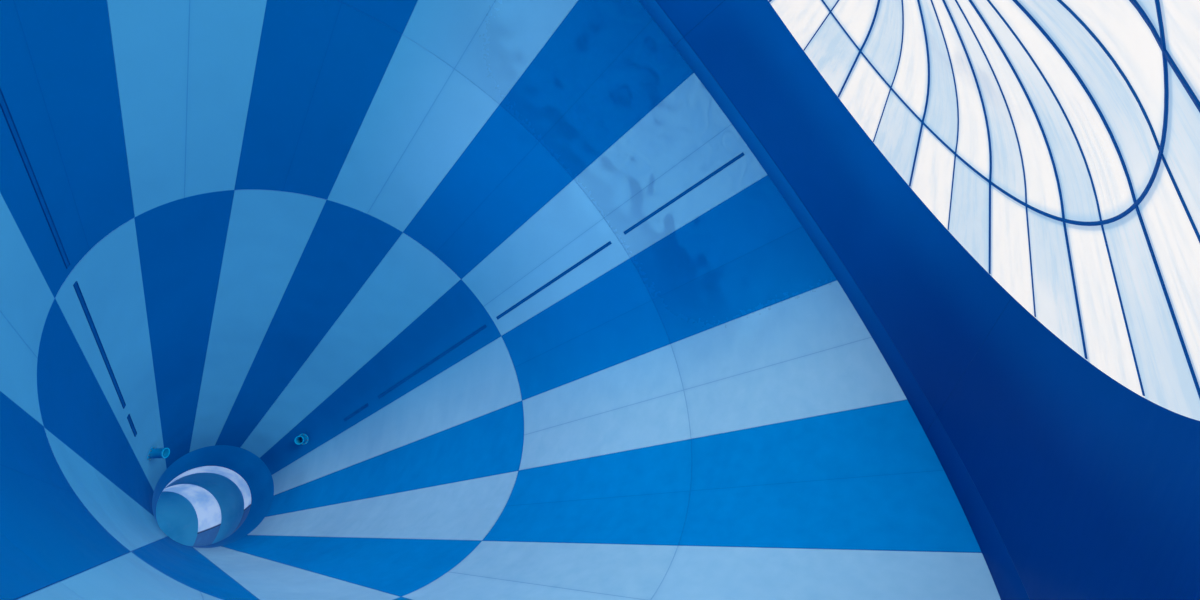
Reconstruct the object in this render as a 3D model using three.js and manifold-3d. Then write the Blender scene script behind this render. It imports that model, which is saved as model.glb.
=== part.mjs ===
// Closed funnel water slide: a tilted cone of glass-fibre panels with a domed front,
// an entry tube low in the front cone, an exit tube at the small end, and steel legs.
// Millimetres, +Z up, +X towards the domed front, ground at Z 0.

import * as THREE from "three";
import { mergeVertices } from "three/addons/utils/BufferGeometryUtils.js";
import Module from "manifold-3d";

const wasm = await Module();
wasm.setup();

// Driving dimensions
const TILT = THREE.MathUtils.degToRad(26.5);
const STRIPES = 14;
const RING_SEGMENTS = 56;
const WAIST_HEIGHT = 8400;
const WAIST_RADIUS = 5350;
const CONE_SLOPE = 0.3915;

// Stations along the funnel's axis, from the waist seam
const RIM_STATION = -10430;
const COLLAR_STATION = -9363;
const WAIST_STATION = 0;
const MIDDLE_STATION = 4762;
const MOUTH_STATION = 9518;
const DOME_STATION = 12118;
const LOOP_STATION = 12805;
const POLE_STATION = 13350;

// Radii away from the plain cone, and the dome cap's curve
const RIM_RADIUS = 1340;
const DOME_RADIUS = 6795;
const LOOP_RADIUS = 4936;
const CAP_POWER = 4;
const CAP_RINGS = 4;

// Shell laminate and its bolted flanges
const SKIN = 20;
const FLANGE_DEPTH = 90;
const FLANGE_THICK = 16;
const RIB_DROP = 1;
const DOME_EDGE_STEP = 48;
const GAP = 0.3;

// Steel ring beams, and where their legs stand in degrees from the top
const HOOP_WIDTH = 240;
const HOOP_DEPTH = 300;
const HOOPS = [
  { name: "mouth", station: MOUTH_STATION, legs: { low: 155, side: 115 } },
  { name: "middle", station: MIDDLE_STATION, legs: { side: 135 } },
  { name: "waist", station: WAIST_STATION, legs: { side: 135 } },
  { name: "throat", station: COLLAR_STATION, legs: { side: 140 } },
];

// Tubes
const TUBE_SIDES = 24;
const BEND_STEPS = 3;
const TUBE_RADIUS = 1340;
const TUBE_SKIN = 20;
const TUBE_FLANGE = 90;
const EXIT_STUB = 640;
const EXIT_BEND_RADIUS = 4600;
const EXIT_YAW = THREE.MathUtils.degToRad(60);
const EXIT_FALL = 0.05;
const EXIT_SHARES = [0, 0.25, 0.43, 1];
const ENTRY_STRIPE_ANGLE = THREE.MathUtils.degToRad(205.7);
const ENTRY_SKEW = THREE.MathUtils.degToRad(45);
const ENTRY_LENGTH = 6000;
const ENTRY_OVERRUN = 2950;
const ENTRY_LEG_SHARE = 0.78;

// Spouts above the small end
const SPOUT_STATION = -7704;
const SPOUT_ANGLE = THREE.MathUtils.degToRad((2.5 * 360) / STRIPES);
const SPOUT_RADIUS = 150;
const SPOUT_BORE = 120;
const SPOUT_LENGTH = 420;

// Legs
const LEG_RADIUS = 254;
const ROUND_SIDES = 16;
const SADDLE_THICK = 30;
const SADDLE_HALF = 420;
const SADDLE_MARGIN = 160;
const BASE_SIZE = 900;
const BASE_THICK = 40;
const COPE_EXTRA = 950;

// Reach of the shapes that only cut or trim
const CUT_REACH = 14000;
const CUT_DEPTH = 2000;

const PANEL_ROUGHNESS = 0.25;
const STEEL_ROUGHNESS = 0.45;
const STEEL_METALNESS = 0.6;
const COLOURS = {
  dark: 0x0060b0,
  light: 0x4a97cf,
  cone: 0x003f8f,
  dome: 0xe8eef5,
  teal: 0x0a6f9c,
  steel: 0xc8ced2,
};

const coneRadius = (station) => WAIST_RADIUS + CONE_SLOPE * station;
const radialSkin = SKIN * Math.hypot(1, CONE_SLOPE);
const flangeTop = radialSkin + FLANGE_DEPTH;
const stripeAngle = (2 * Math.PI) / STRIPES;

// Local Y is the funnel's axis and local Z its upper side
const axis = new THREE.Vector3(Math.cos(TILT), 0, Math.sin(TILT));
const upper = new THREE.Vector3(-Math.sin(TILT), 0, Math.cos(TILT));
const side = new THREE.Vector3(0, 1, 0);
const funnelMatrix = new THREE.Matrix4()
  .makeBasis(side.clone().negate(), axis, upper)
  .setPosition(0, 0, WAIST_HEIGHT);

// Outward direction at an angle from the top, turning towards +Y
const radial = (angle) =>
  upper.clone().multiplyScalar(Math.cos(angle)).addScaledVector(side, Math.sin(angle));

const pointAt = (station, radius, angle) =>
  axis
    .clone()
    .multiplyScalar(station)
    .addScaledVector(radial(angle), radius)
    .add(new THREE.Vector3(0, 0, WAIST_HEIGHT));

// Solids

function toSolid(geometry) {
  const bare = geometry.clone();
  bare.deleteAttribute("normal");
  bare.deleteAttribute("uv");
  const merged = mergeVertices(bare, 1e-3);
  return new wasm.Manifold(
    new wasm.Mesh({
      numProp: 3,
      vertProperties: new Float32Array(merged.attributes.position.array),
      triVerts: new Uint32Array(merged.index.array),
    }),
  );
}

function toGeometry(solid) {
  const mesh = solid.getMesh();
  const geometry = new THREE.BufferGeometry();
  geometry.setAttribute("position", new THREE.BufferAttribute(mesh.vertProperties, 3));
  geometry.setIndex(new THREE.BufferAttribute(mesh.triVerts, 1));
  return geometry;
}

// Ring turned about the funnel's axis from [station, radius] corners, given anticlockwise
// with station to the right and radius up
function turnedGeometry(corners, segments) {
  const points = corners.map(([station, radius]) => new THREE.Vector2(radius, station));
  points.reverse();
  const onAxis = corners[0][1] === 0;
  if (!onAxis) points.push(points[0].clone());
  return new THREE.LatheGeometry(points, segments);
}

const turned = (corners) => toSolid(turnedGeometry(corners, RING_SEGMENTS));

// Prism along the axis, open like a wedge of pie about the upper side; inset moves both
// of its flat sides inwards
function wedge(halfAngle, inset) {
  const tip = inset / Math.sin(halfAngle);
  const reach = CUT_REACH * Math.tan(halfAngle);
  const shape = new THREE.Shape([
    new THREE.Vector2(0, tip),
    new THREE.Vector2(reach, CUT_REACH + tip),
    new THREE.Vector2(-reach, CUT_REACH + tip),
  ]);
  const depth = 2 * CUT_REACH;
  const geometry = new THREE.ExtrudeGeometry(shape, { depth, bevelEnabled: false });
  geometry.rotateX(Math.PI / 2);
  geometry.translate(0, CUT_REACH, 0);
  return toSolid(geometry);
}

function box(width, depth, height, x, y, z) {
  const geometry = new THREE.BoxGeometry(width, depth, height);
  geometry.translate(x, y, z);
  return toSolid(geometry);
}

// Tray-shaped shell panel: skin, end flanges, side flanges, and, on a long panel, a double
// rib across its middle seam and a single rib along its middle; the flanges and ribs that
// run lengthwise stop a little under the tops of those that run round
function shellPanel(start, end, seam) {
  const inner = (station) => coneRadius(station);
  const skin = (station) => inner(station) + radialSkin;
  const top = (station) => inner(station) + flangeTop - RIB_DROP;
  const cross = [
    { behind: end - FLANGE_THICK, ahead: end, seat: end },
    ...(seam ? [{ behind: seam - FLANGE_THICK, ahead: seam + FLANGE_THICK, seat: seam }] : []),
    { behind: start, ahead: start + FLANGE_THICK, seat: start },
  ];
  const outline = [[start, inner(start)], [end, inner(end)]];
  for (const { behind, ahead, seat } of cross) {
    const height = inner(seat) + flangeTop;
    if (ahead < end) outline.push([ahead, skin(ahead)]);
    outline.push([ahead, height], [behind, height]);
    if (behind > start) outline.push([behind, skin(behind)]);
  }
  const half = stripeAngle / 2;
  const first = start + FLANGE_THICK / 2;
  const last = end - FLANGE_THICK / 2;
  const thick = turned([
    [first, inner(first) + SKIN / 2],
    [last, inner(last) + SKIN / 2],
    [last, top(last)],
    [first, top(first)],
  ]);
  let panel = turned(outline).add(thick.subtract(wedge(half, FLANGE_THICK)));
  if (seam) {
    const length = end - start;
    const plate = box(FLANGE_THICK, 2 * length, 2 * WAIST_RADIUS, 0, 0, 2 * WAIST_RADIUS);
    panel = panel.add(thick.intersect(plate));
  }
  return toGeometry(panel.intersect(wedge(half, GAP / 2)));
}

// Ring beam seated on the bolted flange behind a seam
const hoopInner = (station) => coneRadius(station) + flangeTop + GAP;
const hoopOuter = (station) => hoopInner(station) + HOOP_DEPTH;

function hoopGeometry(station) {
  const back = station - HOOP_WIDTH;
  const inside = hoopInner(station);
  const outside = hoopOuter(station);
  return toGeometry(
    turned([[back, inside], [station, inside], [station, outside], [back, outside]]),
  );
}

// Front cone between the mouth and the dome, as a full ring
function frontCone() {
  const run = DOME_STATION - MOUTH_STATION;
  const mouthRadius = coneRadius(MOUTH_STATION);
  const drop = mouthRadius - DOME_RADIUS;
  const skin = SKIN * Math.hypot(1, drop / run);
  const at = (station) => mouthRadius - (drop * (station - MOUTH_STATION)) / run;
  const start = MOUTH_STATION + GAP;
  const end = DOME_STATION;
  const endTop = DOME_RADIUS + skin + FLANGE_DEPTH;
  return turned([
    [start, at(start)],
    [end, at(end)],
    [end, endTop],
    [end - FLANGE_THICK, endTop],
    [end - FLANGE_THICK, at(end - FLANGE_THICK) + skin],
    [start + FLANGE_THICK, at(start + FLANGE_THICK) + skin],
    [start + FLANGE_THICK, mouthRadius + flangeTop],
    [start, mouthRadius + flangeTop],
  ]);
}

// Translucent ring between the front cone and the dome's loop seam
function domeRing() {
  const start = DOME_STATION + GAP;
  const run = LOOP_STATION - DOME_STATION;
  const drop = DOME_RADIUS - LOOP_RADIUS;
  const thickness = SKIN * Math.hypot(1, run / drop);
  return turned([
    [start, DOME_RADIUS],
    [LOOP_STATION, LOOP_RADIUS],
    [LOOP_STATION + thickness + FLANGE_DEPTH, LOOP_RADIUS],
    [LOOP_STATION + thickness + FLANGE_DEPTH, LOOP_RADIUS + FLANGE_THICK],
    [LOOP_STATION + thickness, LOOP_RADIUS + FLANGE_THICK],
    [start + FLANGE_THICK, DOME_RADIUS + DOME_EDGE_STEP],
    [start + FLANGE_THICK, DOME_RADIUS + FLANGE_DEPTH],
    [start, DOME_RADIUS + FLANGE_DEPTH],
  ]);
}

// Dome cap, a shallow bowl turned about the axis, flat in its middle and steep at its edge
function domeCap() {
  const rise = POLE_STATION - LOOP_STATION;
  const edge = LOOP_RADIUS - GAP;
  const station = (radius) =>
    LOOP_STATION + rise * (1 - (radius / LOOP_RADIUS) ** CAP_POWER);
  const inner = [];
  for (let ring = 0; ring <= CAP_RINGS; ring += 1) {
    const radius = (edge * ring) / CAP_RINGS;
    inner.push([station(radius), radius]);
  }
  const outer = inner.map(([along, radius]) => [along + SKIN, radius]);
  outer.pop();
  const lip = [
    [LOOP_STATION + FLANGE_DEPTH, edge],
    [LOOP_STATION + FLANGE_DEPTH, edge - FLANGE_THICK],
    [LOOP_STATION + 2 * SKIN, edge - FLANGE_THICK],
  ];
  return turned([...inner, ...lip, ...outer.reverse()].reverse());
}

// Plain collar from the last stripe to the exit rim, with a flange at each end
function collar() {
  const slope = (coneRadius(COLLAR_STATION) - RIM_RADIUS) / (COLLAR_STATION - RIM_STATION);
  const at = (station) => RIM_RADIUS + slope * (station - RIM_STATION);
  const end = COLLAR_STATION - GAP;
  const front = end - FLANGE_THICK;
  const back = RIM_STATION + FLANGE_THICK;
  const endTop = coneRadius(COLLAR_STATION) + flangeTop;
  const backTop = RIM_RADIUS + TUBE_SKIN + TUBE_FLANGE;
  const corners = [
    [RIM_STATION, RIM_RADIUS],
    [end, at(end)],
    [end, endTop],
    [front, endTop],
    [front, at(front) + SKIN],
    [back, at(back) + SKIN],
    [back, backTop],
    [RIM_STATION, backTop],
  ];
  return turnedGeometry(corners, RING_SEGMENTS / 2);
}

// Tubes, each turned about a straight local Y and then laid along its own line

const tubeOuter = TUBE_RADIUS + TUBE_SKIN;

// Corners of a tube wall with a flange at each end that has one
function tubeCorners(start, end, steps, hasStartFlange) {
  const flange = tubeOuter + TUBE_FLANGE;
  const corners = [];
  for (let step = 0; step <= steps; step += 1) {
    corners.push([start + ((end - start) * step) / steps, TUBE_RADIUS]);
  }
  corners.push([end, flange], [end - FLANGE_THICK, flange], [end - FLANGE_THICK, tubeOuter]);
  for (let step = steps - 1; step > 0; step -= 1) {
    corners.push([start + ((end - start) * step) / steps, tubeOuter]);
  }
  if (hasStartFlange) {
    const behind = start + FLANGE_THICK;
    corners.push([behind, tubeOuter], [behind, flange], [start, flange]);
  } else {
    corners.push([start, tubeOuter]);
  }
  return corners;
}

// Corners of a solid rod, for cutting
function rodCorners(start, end, steps, radius) {
  const corners = [[end, 0]];
  for (let step = steps; step >= 0; step -= 1) {
    corners.push([start + ((end - start) * step) / steps, radius]);
  }
  return [...corners, [start, 0]];
}

function layAlong(corners, frameAt) {
  const geometry = turnedGeometry(corners, TUBE_SIDES);
  const position = geometry.attributes.position;
  const point = new THREE.Vector3();
  for (let index = 0; index < position.count; index += 1) {
    point.fromBufferAttribute(position, index);
    const frame = frameAt(point.y);
    point.setY(0).applyMatrix4(frame);
    position.setXYZ(index, point.x, point.y, point.z);
  }
  return geometry;
}

// Frame with Y along a heading and Z towards a second direction square to it
function frameOf(origin, along, inward) {
  const third = along.clone().cross(inward);
  return new THREE.Matrix4().makeBasis(third, along, inward).setPosition(origin);
}

const exitHeading = axis.clone().negate();
const exitStart = pointAt(RIM_STATION - GAP, 0, 0);
const exitFinal = new THREE.Vector3(-Math.cos(EXIT_YAW), -Math.sin(EXIT_YAW), -EXIT_FALL)
  .normalize();
const exitTurn = exitHeading.angleTo(exitFinal);
const exitInward = exitFinal
  .clone()
  .addScaledVector(exitHeading, -exitHeading.dot(exitFinal))
  .normalize();

// The exit tube runs straight on from the rim and then bends aside and towards level
function exitFrame(distance) {
  const turn = Math.max(0, distance - EXIT_STUB) / EXIT_BEND_RADIUS;
  const ahead = Math.min(distance, EXIT_STUB) + EXIT_BEND_RADIUS * Math.sin(turn);
  const aside = EXIT_BEND_RADIUS * (1 - Math.cos(turn));
  const origin = exitStart
    .clone()
    .addScaledVector(exitHeading, ahead)
    .addScaledVector(exitInward, aside);
  const along = exitHeading
    .clone()
    .multiplyScalar(Math.cos(turn))
    .addScaledVector(exitInward, Math.sin(turn));
  const inward = exitInward
    .clone()
    .multiplyScalar(Math.cos(turn))
    .addScaledVector(exitHeading, -Math.sin(turn));
  return frameOf(origin, along, inward);
}

const exitEnds = EXIT_SHARES.map((share) => EXIT_STUB + share * exitTurn * EXIT_BEND_RADIUS);

function exitSections() {
  const starts = [0, ...exitEnds.slice(0, -1).map((end) => end + GAP)];
  return starts.map((start, index) => {
    const steps = index === 0 ? 1 : BEND_STEPS;
    return layAlong(tubeCorners(start, exitEnds[index], steps, true), exitFrame);
  });
}

// Half of an exit section, above or below the plane that the bend lies in
function exitHalf(geometry, sign) {
  const middle = sign * (CUT_DEPTH + GAP / 2);
  const block = box(2 * CUT_DEPTH, CUT_REACH, CUT_REACH, middle, 0, 0);
  const half = toSolid(geometry).intersect(block.transform(exitFrame(0).elements));
  return toGeometry(half);
}

const entryStation = (MOUTH_STATION + DOME_STATION) / 2;
const entryRadius = (coneRadius(MOUTH_STATION) + DOME_RADIUS) / 2;
const entryPoint = pointAt(entryStation, entryRadius, ENTRY_STRIPE_ANGLE);

// The entry tube leaves the front cone skewed sideways from the cone's own normal
function entryPlacement() {
  const run = DOME_STATION - MOUTH_STATION;
  const drop = coneRadius(MOUTH_STATION) - DOME_RADIUS;
  const normal = axis
    .clone()
    .multiplyScalar(drop)
    .addScaledVector(radial(ENTRY_STRIPE_ANGLE), run)
    .normalize();
  const round = radial(ENTRY_STRIPE_ANGLE + Math.PI / 2);
  const along = normal
    .clone()
    .multiplyScalar(Math.cos(ENTRY_SKEW))
    .addScaledVector(round, Math.sin(ENTRY_SKEW));
  const inward = along.clone().cross(normal).normalize();
  return { along, inward };
}

const { along: entryAlong, inward: entryInward } = entryPlacement();

const entryFrame = (distance) =>
  frameOf(entryPoint.clone().addScaledVector(entryAlong, distance), entryAlong, entryInward);

// Space inside the front cone, used to trim what meets it from outside
function frontSpace() {
  const back = MOUTH_STATION - CUT_DEPTH;
  return turned([
    [back, 0],
    [back, coneRadius(MOUTH_STATION)],
    [MOUTH_STATION, coneRadius(MOUTH_STATION)],
    [DOME_STATION, DOME_RADIUS],
    [LOOP_STATION, LOOP_RADIUS],
    [LOOP_STATION, 0],
  ].reverse());
}

function entryTube() {
  const corners = tubeCorners(-ENTRY_OVERRUN, ENTRY_LENGTH, 1, false);
  const space = frontSpace().transform(funnelMatrix.elements);
  return toSolid(layAlong(corners, entryFrame)).subtract(space);
}

// Spout on the inner wall, its foot cut to the wall's slope
function spout() {
  const wall = coneRadius(SPOUT_STATION);
  const cylinder = (radius, from, to) => {
    const geometry = new THREE.CylinderGeometry(radius, radius, to - from, ROUND_SIDES);
    geometry.rotateX(Math.PI / 2);
    geometry.translate(0, SPOUT_STATION, (from + to) / 2);
    return toSolid(geometry);
  };
  const clear = (station) => coneRadius(station) - GAP;
  const shell = turned([
    [RIM_STATION, clear(RIM_STATION)],
    [WAIST_STATION, clear(WAIST_STATION)],
    [WAIST_STATION, 2 * WAIST_RADIUS],
    [RIM_STATION, 2 * WAIST_RADIUS],
  ]);
  return cylinder(SPOUT_RADIUS, wall - SPOUT_LENGTH, wall + SPOUT_RADIUS)
    .subtract(cylinder(SPOUT_BORE, wall - 2 * SPOUT_LENGTH, wall - SPOUT_BORE))
    .subtract(shell);
}

// Vertical leg under a hoop, with its foot plate and a saddle under the ring beam
function hoopLeg(station, angle) {
  const outer = hoopOuter(station) + GAP;
  const middle = station - HOOP_WIDTH / 2;
  const seat = pointAt(middle, outer, angle);
  const keepOut = turned([
    [middle + CUT_DEPTH, 0],
    [middle + CUT_DEPTH, outer],
    [middle - CUT_DEPTH, outer],
    [middle - CUT_DEPTH, 0],
  ]).transform(funnelMatrix.elements);
  const reach = HOOP_WIDTH / 2 + SADDLE_MARGIN;
  const band = turned([
    [middle - reach, outer],
    [middle + reach, outer],
    [middle + reach, outer + SADDLE_THICK],
    [middle - reach, outer + SADDLE_THICK],
  ]);
  const turn = new THREE.Matrix4().makeRotationY(-angle);
  const saddle = band
    .intersect(wedge(SADDLE_HALF / outer, 0).transform(turn.elements))
    .transform(funnelMatrix.elements);
  return column(seat.x, seat.y, seat.z + COPE_EXTRA).subtract(keepOut).add(saddle);
}

function column(x, y, top) {
  const geometry = new THREE.CylinderGeometry(LEG_RADIUS, LEG_RADIUS, top, ROUND_SIDES);
  geometry.rotateX(Math.PI / 2);
  geometry.translate(x, y, top / 2);
  return toSolid(geometry).add(box(BASE_SIZE, BASE_SIZE, BASE_THICK, x, y, BASE_THICK / 2));
}

// Column under a tube at a distance along it, cut to the tube's outside
function tubeLeg(frameAt, distance, start, end, steps) {
  const keepOut = layAlong(rodCorners(start, end, steps, tubeOuter + GAP), frameAt);
  const point = new THREE.Vector3().setFromMatrixPosition(frameAt(distance));
  return column(point.x, point.y, point.z).subtract(toSolid(keepOut));
}

// Assembly

function addMesh(parent, name, geometry, color, roughness = PANEL_ROUGHNESS, metalness = 0) {
  const material = new THREE.MeshStandardMaterial({ color, roughness, metalness });
  const mesh = new THREE.Mesh(geometry, material);
  mesh.name = name;
  parent.add(mesh);
  return mesh;
}

const two = (number) => String(number).padStart(2, "0");

function addPanels(funnel) {
  const outer = shellPanel(WAIST_STATION + GAP / 2, MOUTH_STATION, MIDDLE_STATION);
  const inner = shellPanel(COLLAR_STATION, WAIST_STATION - GAP / 2);
  for (let stripe = 0; stripe < STRIPES; stripe += 1) {
    const turn = -(stripe + 0.5) * stripeAngle;
    const outerColour = stripe % 2 === 0 ? COLOURS.light : COLOURS.dark;
    const innerColour = stripe % 2 === 0 ? COLOURS.dark : COLOURS.light;
    addMesh(funnel, `outer_panel_${two(stripe + 1)}`, outer, outerColour).rotation.y = turn;
    addMesh(funnel, `inner_panel_${two(stripe + 1)}`, inner, innerColour).rotation.y = turn;
  }
}

function addFront(funnel) {
  const ring = frontCone();
  const rod = rodCorners(-ENTRY_OVERRUN, ENTRY_LENGTH, 1, tubeOuter + GAP);
  const toFunnel = funnelMatrix.clone().invert();
  const hole = toSolid(layAlong(rod, entryFrame)).transform(toFunnel.elements);
  const quarter = wedge(Math.PI / 4, GAP / 2);
  const sides = ["top", "right", "bottom", "left"];
  sides.forEach((name, index) => {
    const turn = new THREE.Matrix4().makeRotationY((-index * Math.PI) / 2);
    const piece = ring.intersect(quarter.transform(turn.elements)).subtract(hole);
    addMesh(funnel, `front_cone_${name}`, toGeometry(piece), COLOURS.cone);
  });
  addMesh(funnel, "dome_ring", toGeometry(domeRing()), COLOURS.dome);
  addMesh(funnel, "dome_cap", toGeometry(domeCap()), COLOURS.dome);
}

function addExit(root, funnel) {
  addMesh(funnel, "throat_collar", collar(), COLOURS.cone);
  exitSections().forEach((geometry, index) => {
    const name = `exit_tube_${index + 1}`;
    const isSplit = index % 2 === 0;
    if (isSplit) {
      addMesh(root, `${name}_upper`, exitHalf(geometry, 1), COLOURS.dome);
      addMesh(root, `${name}_lower`, exitHalf(geometry, -1), COLOURS.cone);
    } else {
      addMesh(root, name, geometry, COLOURS.teal);
    }
  });
}

function addSpouts(funnel) {
  const geometry = toGeometry(spout());
  addMesh(funnel, "spout_right", geometry, COLOURS.teal).rotation.y = -SPOUT_ANGLE;
  addMesh(funnel, "spout_left", geometry, COLOURS.teal).rotation.y = SPOUT_ANGLE;
}

function addSteel(root, funnel) {
  const steel = [COLOURS.steel, STEEL_ROUGHNESS, STEEL_METALNESS];
  for (const { name, station, legs } of HOOPS) {
    addMesh(funnel, `${name}_hoop`, hoopGeometry(station), ...steel);
    for (const [place, degrees] of Object.entries(legs)) {
      const angle = THREE.MathUtils.degToRad(degrees);
      const label = `${name}_${place}_leg`;
      addMesh(root, `${label}_right`, toGeometry(hoopLeg(station, angle)), ...steel);
      addMesh(root, `${label}_left`, toGeometry(hoopLeg(station, -angle)), ...steel);
    }
  }
  const entryLeg = tubeLeg(entryFrame, ENTRY_LEG_SHARE * ENTRY_LENGTH, 0, ENTRY_LENGTH, 1);
  addMesh(root, "entry_leg", toGeometry(entryLeg), ...steel);
  const [start, end] = exitEnds.slice(-2);
  const exitLeg = tubeLeg(exitFrame, (start + end) / 2, start, end, BEND_STEPS);
  addMesh(root, "exit_leg", toGeometry(exitLeg), ...steel);
}

const slide = new THREE.Group();
const funnelGroup = new THREE.Group();
funnelMatrix.decompose(funnelGroup.position, funnelGroup.quaternion, funnelGroup.scale);
slide.add(funnelGroup);
addPanels(funnelGroup);
addFront(funnelGroup);
addExit(slide, funnelGroup);
addSpouts(funnelGroup);
addMesh(slide, "entry_tube", toGeometry(entryTube()), COLOURS.teal);
addSteel(slide, funnelGroup);

// The origin is on the ground under the middle of the whole slide
const bounds = new THREE.Box3().setFromObject(slide, true);
const centre = bounds.getCenter(new THREE.Vector3());
slide.position.set(-centre.x, -centre.y, 0);
slide.updateMatrixWorld(true);

export default slide;
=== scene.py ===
import math

import bpy
from mathutils import Matrix, Vector


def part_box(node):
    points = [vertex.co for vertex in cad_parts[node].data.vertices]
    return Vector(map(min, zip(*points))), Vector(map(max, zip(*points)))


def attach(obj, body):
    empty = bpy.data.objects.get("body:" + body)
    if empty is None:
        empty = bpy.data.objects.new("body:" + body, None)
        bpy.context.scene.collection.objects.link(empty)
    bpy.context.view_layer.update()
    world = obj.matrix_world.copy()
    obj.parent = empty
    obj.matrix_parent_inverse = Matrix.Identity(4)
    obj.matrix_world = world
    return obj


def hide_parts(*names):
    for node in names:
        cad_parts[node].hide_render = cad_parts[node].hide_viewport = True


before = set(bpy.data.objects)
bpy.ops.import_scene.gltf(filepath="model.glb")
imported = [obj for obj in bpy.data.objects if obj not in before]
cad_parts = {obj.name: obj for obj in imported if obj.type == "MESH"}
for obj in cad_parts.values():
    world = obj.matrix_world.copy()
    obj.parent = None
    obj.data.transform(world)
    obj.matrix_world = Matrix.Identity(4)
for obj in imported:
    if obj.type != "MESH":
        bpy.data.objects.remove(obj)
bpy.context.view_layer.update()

# Funnel, in metres, with its stations measured along the axis from the waist seam
STRIPES = 14
STRIPE = 2 * math.pi / STRIPES
SIDES = {"right": 1, "left": -1}
WAIST_RADIUS = 5.35
CONE_SLOPE = 0.3915
RIM = -10.43
COLLAR = -9.363
WAIST = 0.0
MIDDLE = 4.762
MOUTH = 9.518
DOME = 12.118
LOOP = 12.805
POLE = 13.35
RIM_RADIUS = 1.34
DOME_RADIUS = 6.795
LOOP_RADIUS = 4.936
CAP_POWER = 4
PANEL_SHIFT = 31
# Turn from the top where the wet film and the painted light on the walls are strongest
WET_AND_LIT_TURN = math.radians(153)
# Turn where the painted sheen and the polish of the walls are strongest
POLISH_AND_SHEEN_TURN = math.radians(58)

# Laminate, flanges and joints
SKIN = 0.02
FLANGE_DEPTH = 0.09
FLANGE_THICK = 0.016
GRIP = 2 * FLANGE_THICK
RIB_DROP = 0.001
DOME_EDGE_STEP = 0.048
JOINT = 0.0003
JOINT_TURN = 0.0005
STRIPE_STEPS = 16
GROOVE = 0.006
BAND = 9.914
LAP = 0.004
EDGE = 0.002
STRIP_EDGE = 0.003
BEVEL_ANGLE = math.radians(35)
SMOOTH_ANGLE = math.radians(32)
CUTTER_REACH = 2

# Dome seams
DOME_STEPS = 168
DOME_CAP_STEPS = 28
DOME_STRIP_STEPS = 20
THICK_SEAM = 0.054
THIN_SEAM = 0.032
LOOP_SEAM = 0.044
SEAM_PROUD = 0.012
SEAM_SUNK = 0.002
SEAM_GAP = 0.02
RIB_INSET = 0.03
THIN_RIB_SHARE = 0.6
HUB_RADIUS = 0.45
HUB_RIM = 0.03
HUB_BOLTS = 14

# Fasteners
BOLT_PITCH = 0.36
BOLT_EDGE = 0.045
RING_BOLT_DROP = 0.02
DOME_BOLT_DROP = 0.03
ROW_CLEARANCE = 0.1
NUT_RADIUS = 0.017
NUT_THICK = 0.014
WASHER_RADIUS = 0.022
WASHER_THICK = 0.003

# Tubes
TUBE_RADIUS = 1.34
TUBE_OUTER = 1.36
TUBE_SIDES = 96
TUBE_BOLTS = 28
EXIT_STUB = 0.64
EXIT_BEND_RADIUS = 4.6
EXIT_BEND_STEP = math.radians(2.5)
EXIT_YAW = math.radians(60)
EXIT_FALL = 0.05
EXIT_SHARES = (0, 0.25, 0.43, 1)
SPLIT_SECTIONS = (1, 3)
ENTRY_TURN = math.radians(205.7)
ENTRY_SKEW = math.radians(45)
ENTRY_LENGTH = 6.0
ENTRY_OVERRUN = 2.95
ENTRY_JOINT = 3.1
ENTRY_RIB_START = 1.9
ENTRY_LEG = 0.78 * ENTRY_LENGTH

# Spouts and spray slots on the wall
SPOUT_STATION = -7.704
SPOUT_STRIPES = 2.5
SPOUT_RADIUS = 0.15
SPOUT_BORE = 0.12
SPOUT_LENGTH = 0.42
SPOUT_FOOT = 0.205
SPOUT_SIDES = 48
SLOT_STRIPES = 2.75
SLOT_RUNS = ((5.013, 9.304), (0.16, 4.526), (-4.655, -0.268), (-6.1, -5.083))
SLOT_WIDTH = 0.11
SLOT_RIM = 0.014
SLOT_PROUD = 0.016
BOX_WIDTH = 0.2
BOX_HEIGHT = 0.14
BOX_SHORTER = 0.16
BOX_LIP = (0.08, 0.1, 0.012)
INLET_SHARES = (-0.32, 0.32)

# Steelwork
HOOP_WIDTH = 0.24
HOOP_DEPTH = 0.3
HOOPS = {"mouth": MOUTH, "middle": MIDDLE, "waist": WAIST, "throat": COLLAR}
GUSSET_REACH = 0.26
GUSSET_THICK = 0.022
SHOE_WIDTH = 0.1
SHOE_THICK = 0.012
SPLICE_THICK = 0.036
LEG_TURNS = {
    "mouth_low": (MOUTH, 155),
    "mouth_side": (MOUTH, 115),
    "middle_side": (MIDDLE, 135),
    "waist_side": (WAIST, 135),
    "throat_side": (COLLAR, 140),
}
LEG_RADIUS = 0.254
LEG_SIDES = 48
LEG_OVERRUN = 0.95
LEG_FLANGE = (0.0005, 0.022, 0.075)
TALL_LEG = 4
SADDLE_THICK = 0.03
SADDLE_HALF = 0.42
SADDLE_MARGIN = 0.16
CHEEK_THICK = 0.022
CHEEK_RISE = 0.12
BASE_SIZE = 0.9
BASE_THICK = 0.04
STIFFENER_RISE = 0.3
STIFFENER_THICK = 0.018
ANCHOR_INSET = 0.08
BRACE_RADIUS = 0.024
BRACE_TOP = 0.72
BRACE_FOOT = 0.55
BRACE_ASIDE = 0.05
TURNBUCKLE = (0.3, 0.045, 0.2)
LUG = (0.06, 0.01, 0.22)

# Small rings of bolts, by station, radius, number and length
SPOUT_BOLTS = (0.006, 0.176, 8, 0.016)
INLET_BOLTS = (0, 0.078, 6, 0.034)
LEG_BOLTS = (0, LEG_RADIUS + 0.042, 12, 0.046)

# Camera, level, looking up the cone from low on its near side
CAMERA_PLACE = (11.251, -6.532, 8.122)
CAMERA_TURN = math.radians(36.33)
CAMERA_RISE = math.radians(8.63)
CAMERA_LENS = 15
CAMERA_NEAR = 1.9
FLOOR_SIZE = 1600


# The funnel's own axes, taken from its ring beams


def middle_of(node):
    low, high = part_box(node)
    return (low + high) / 2


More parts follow.
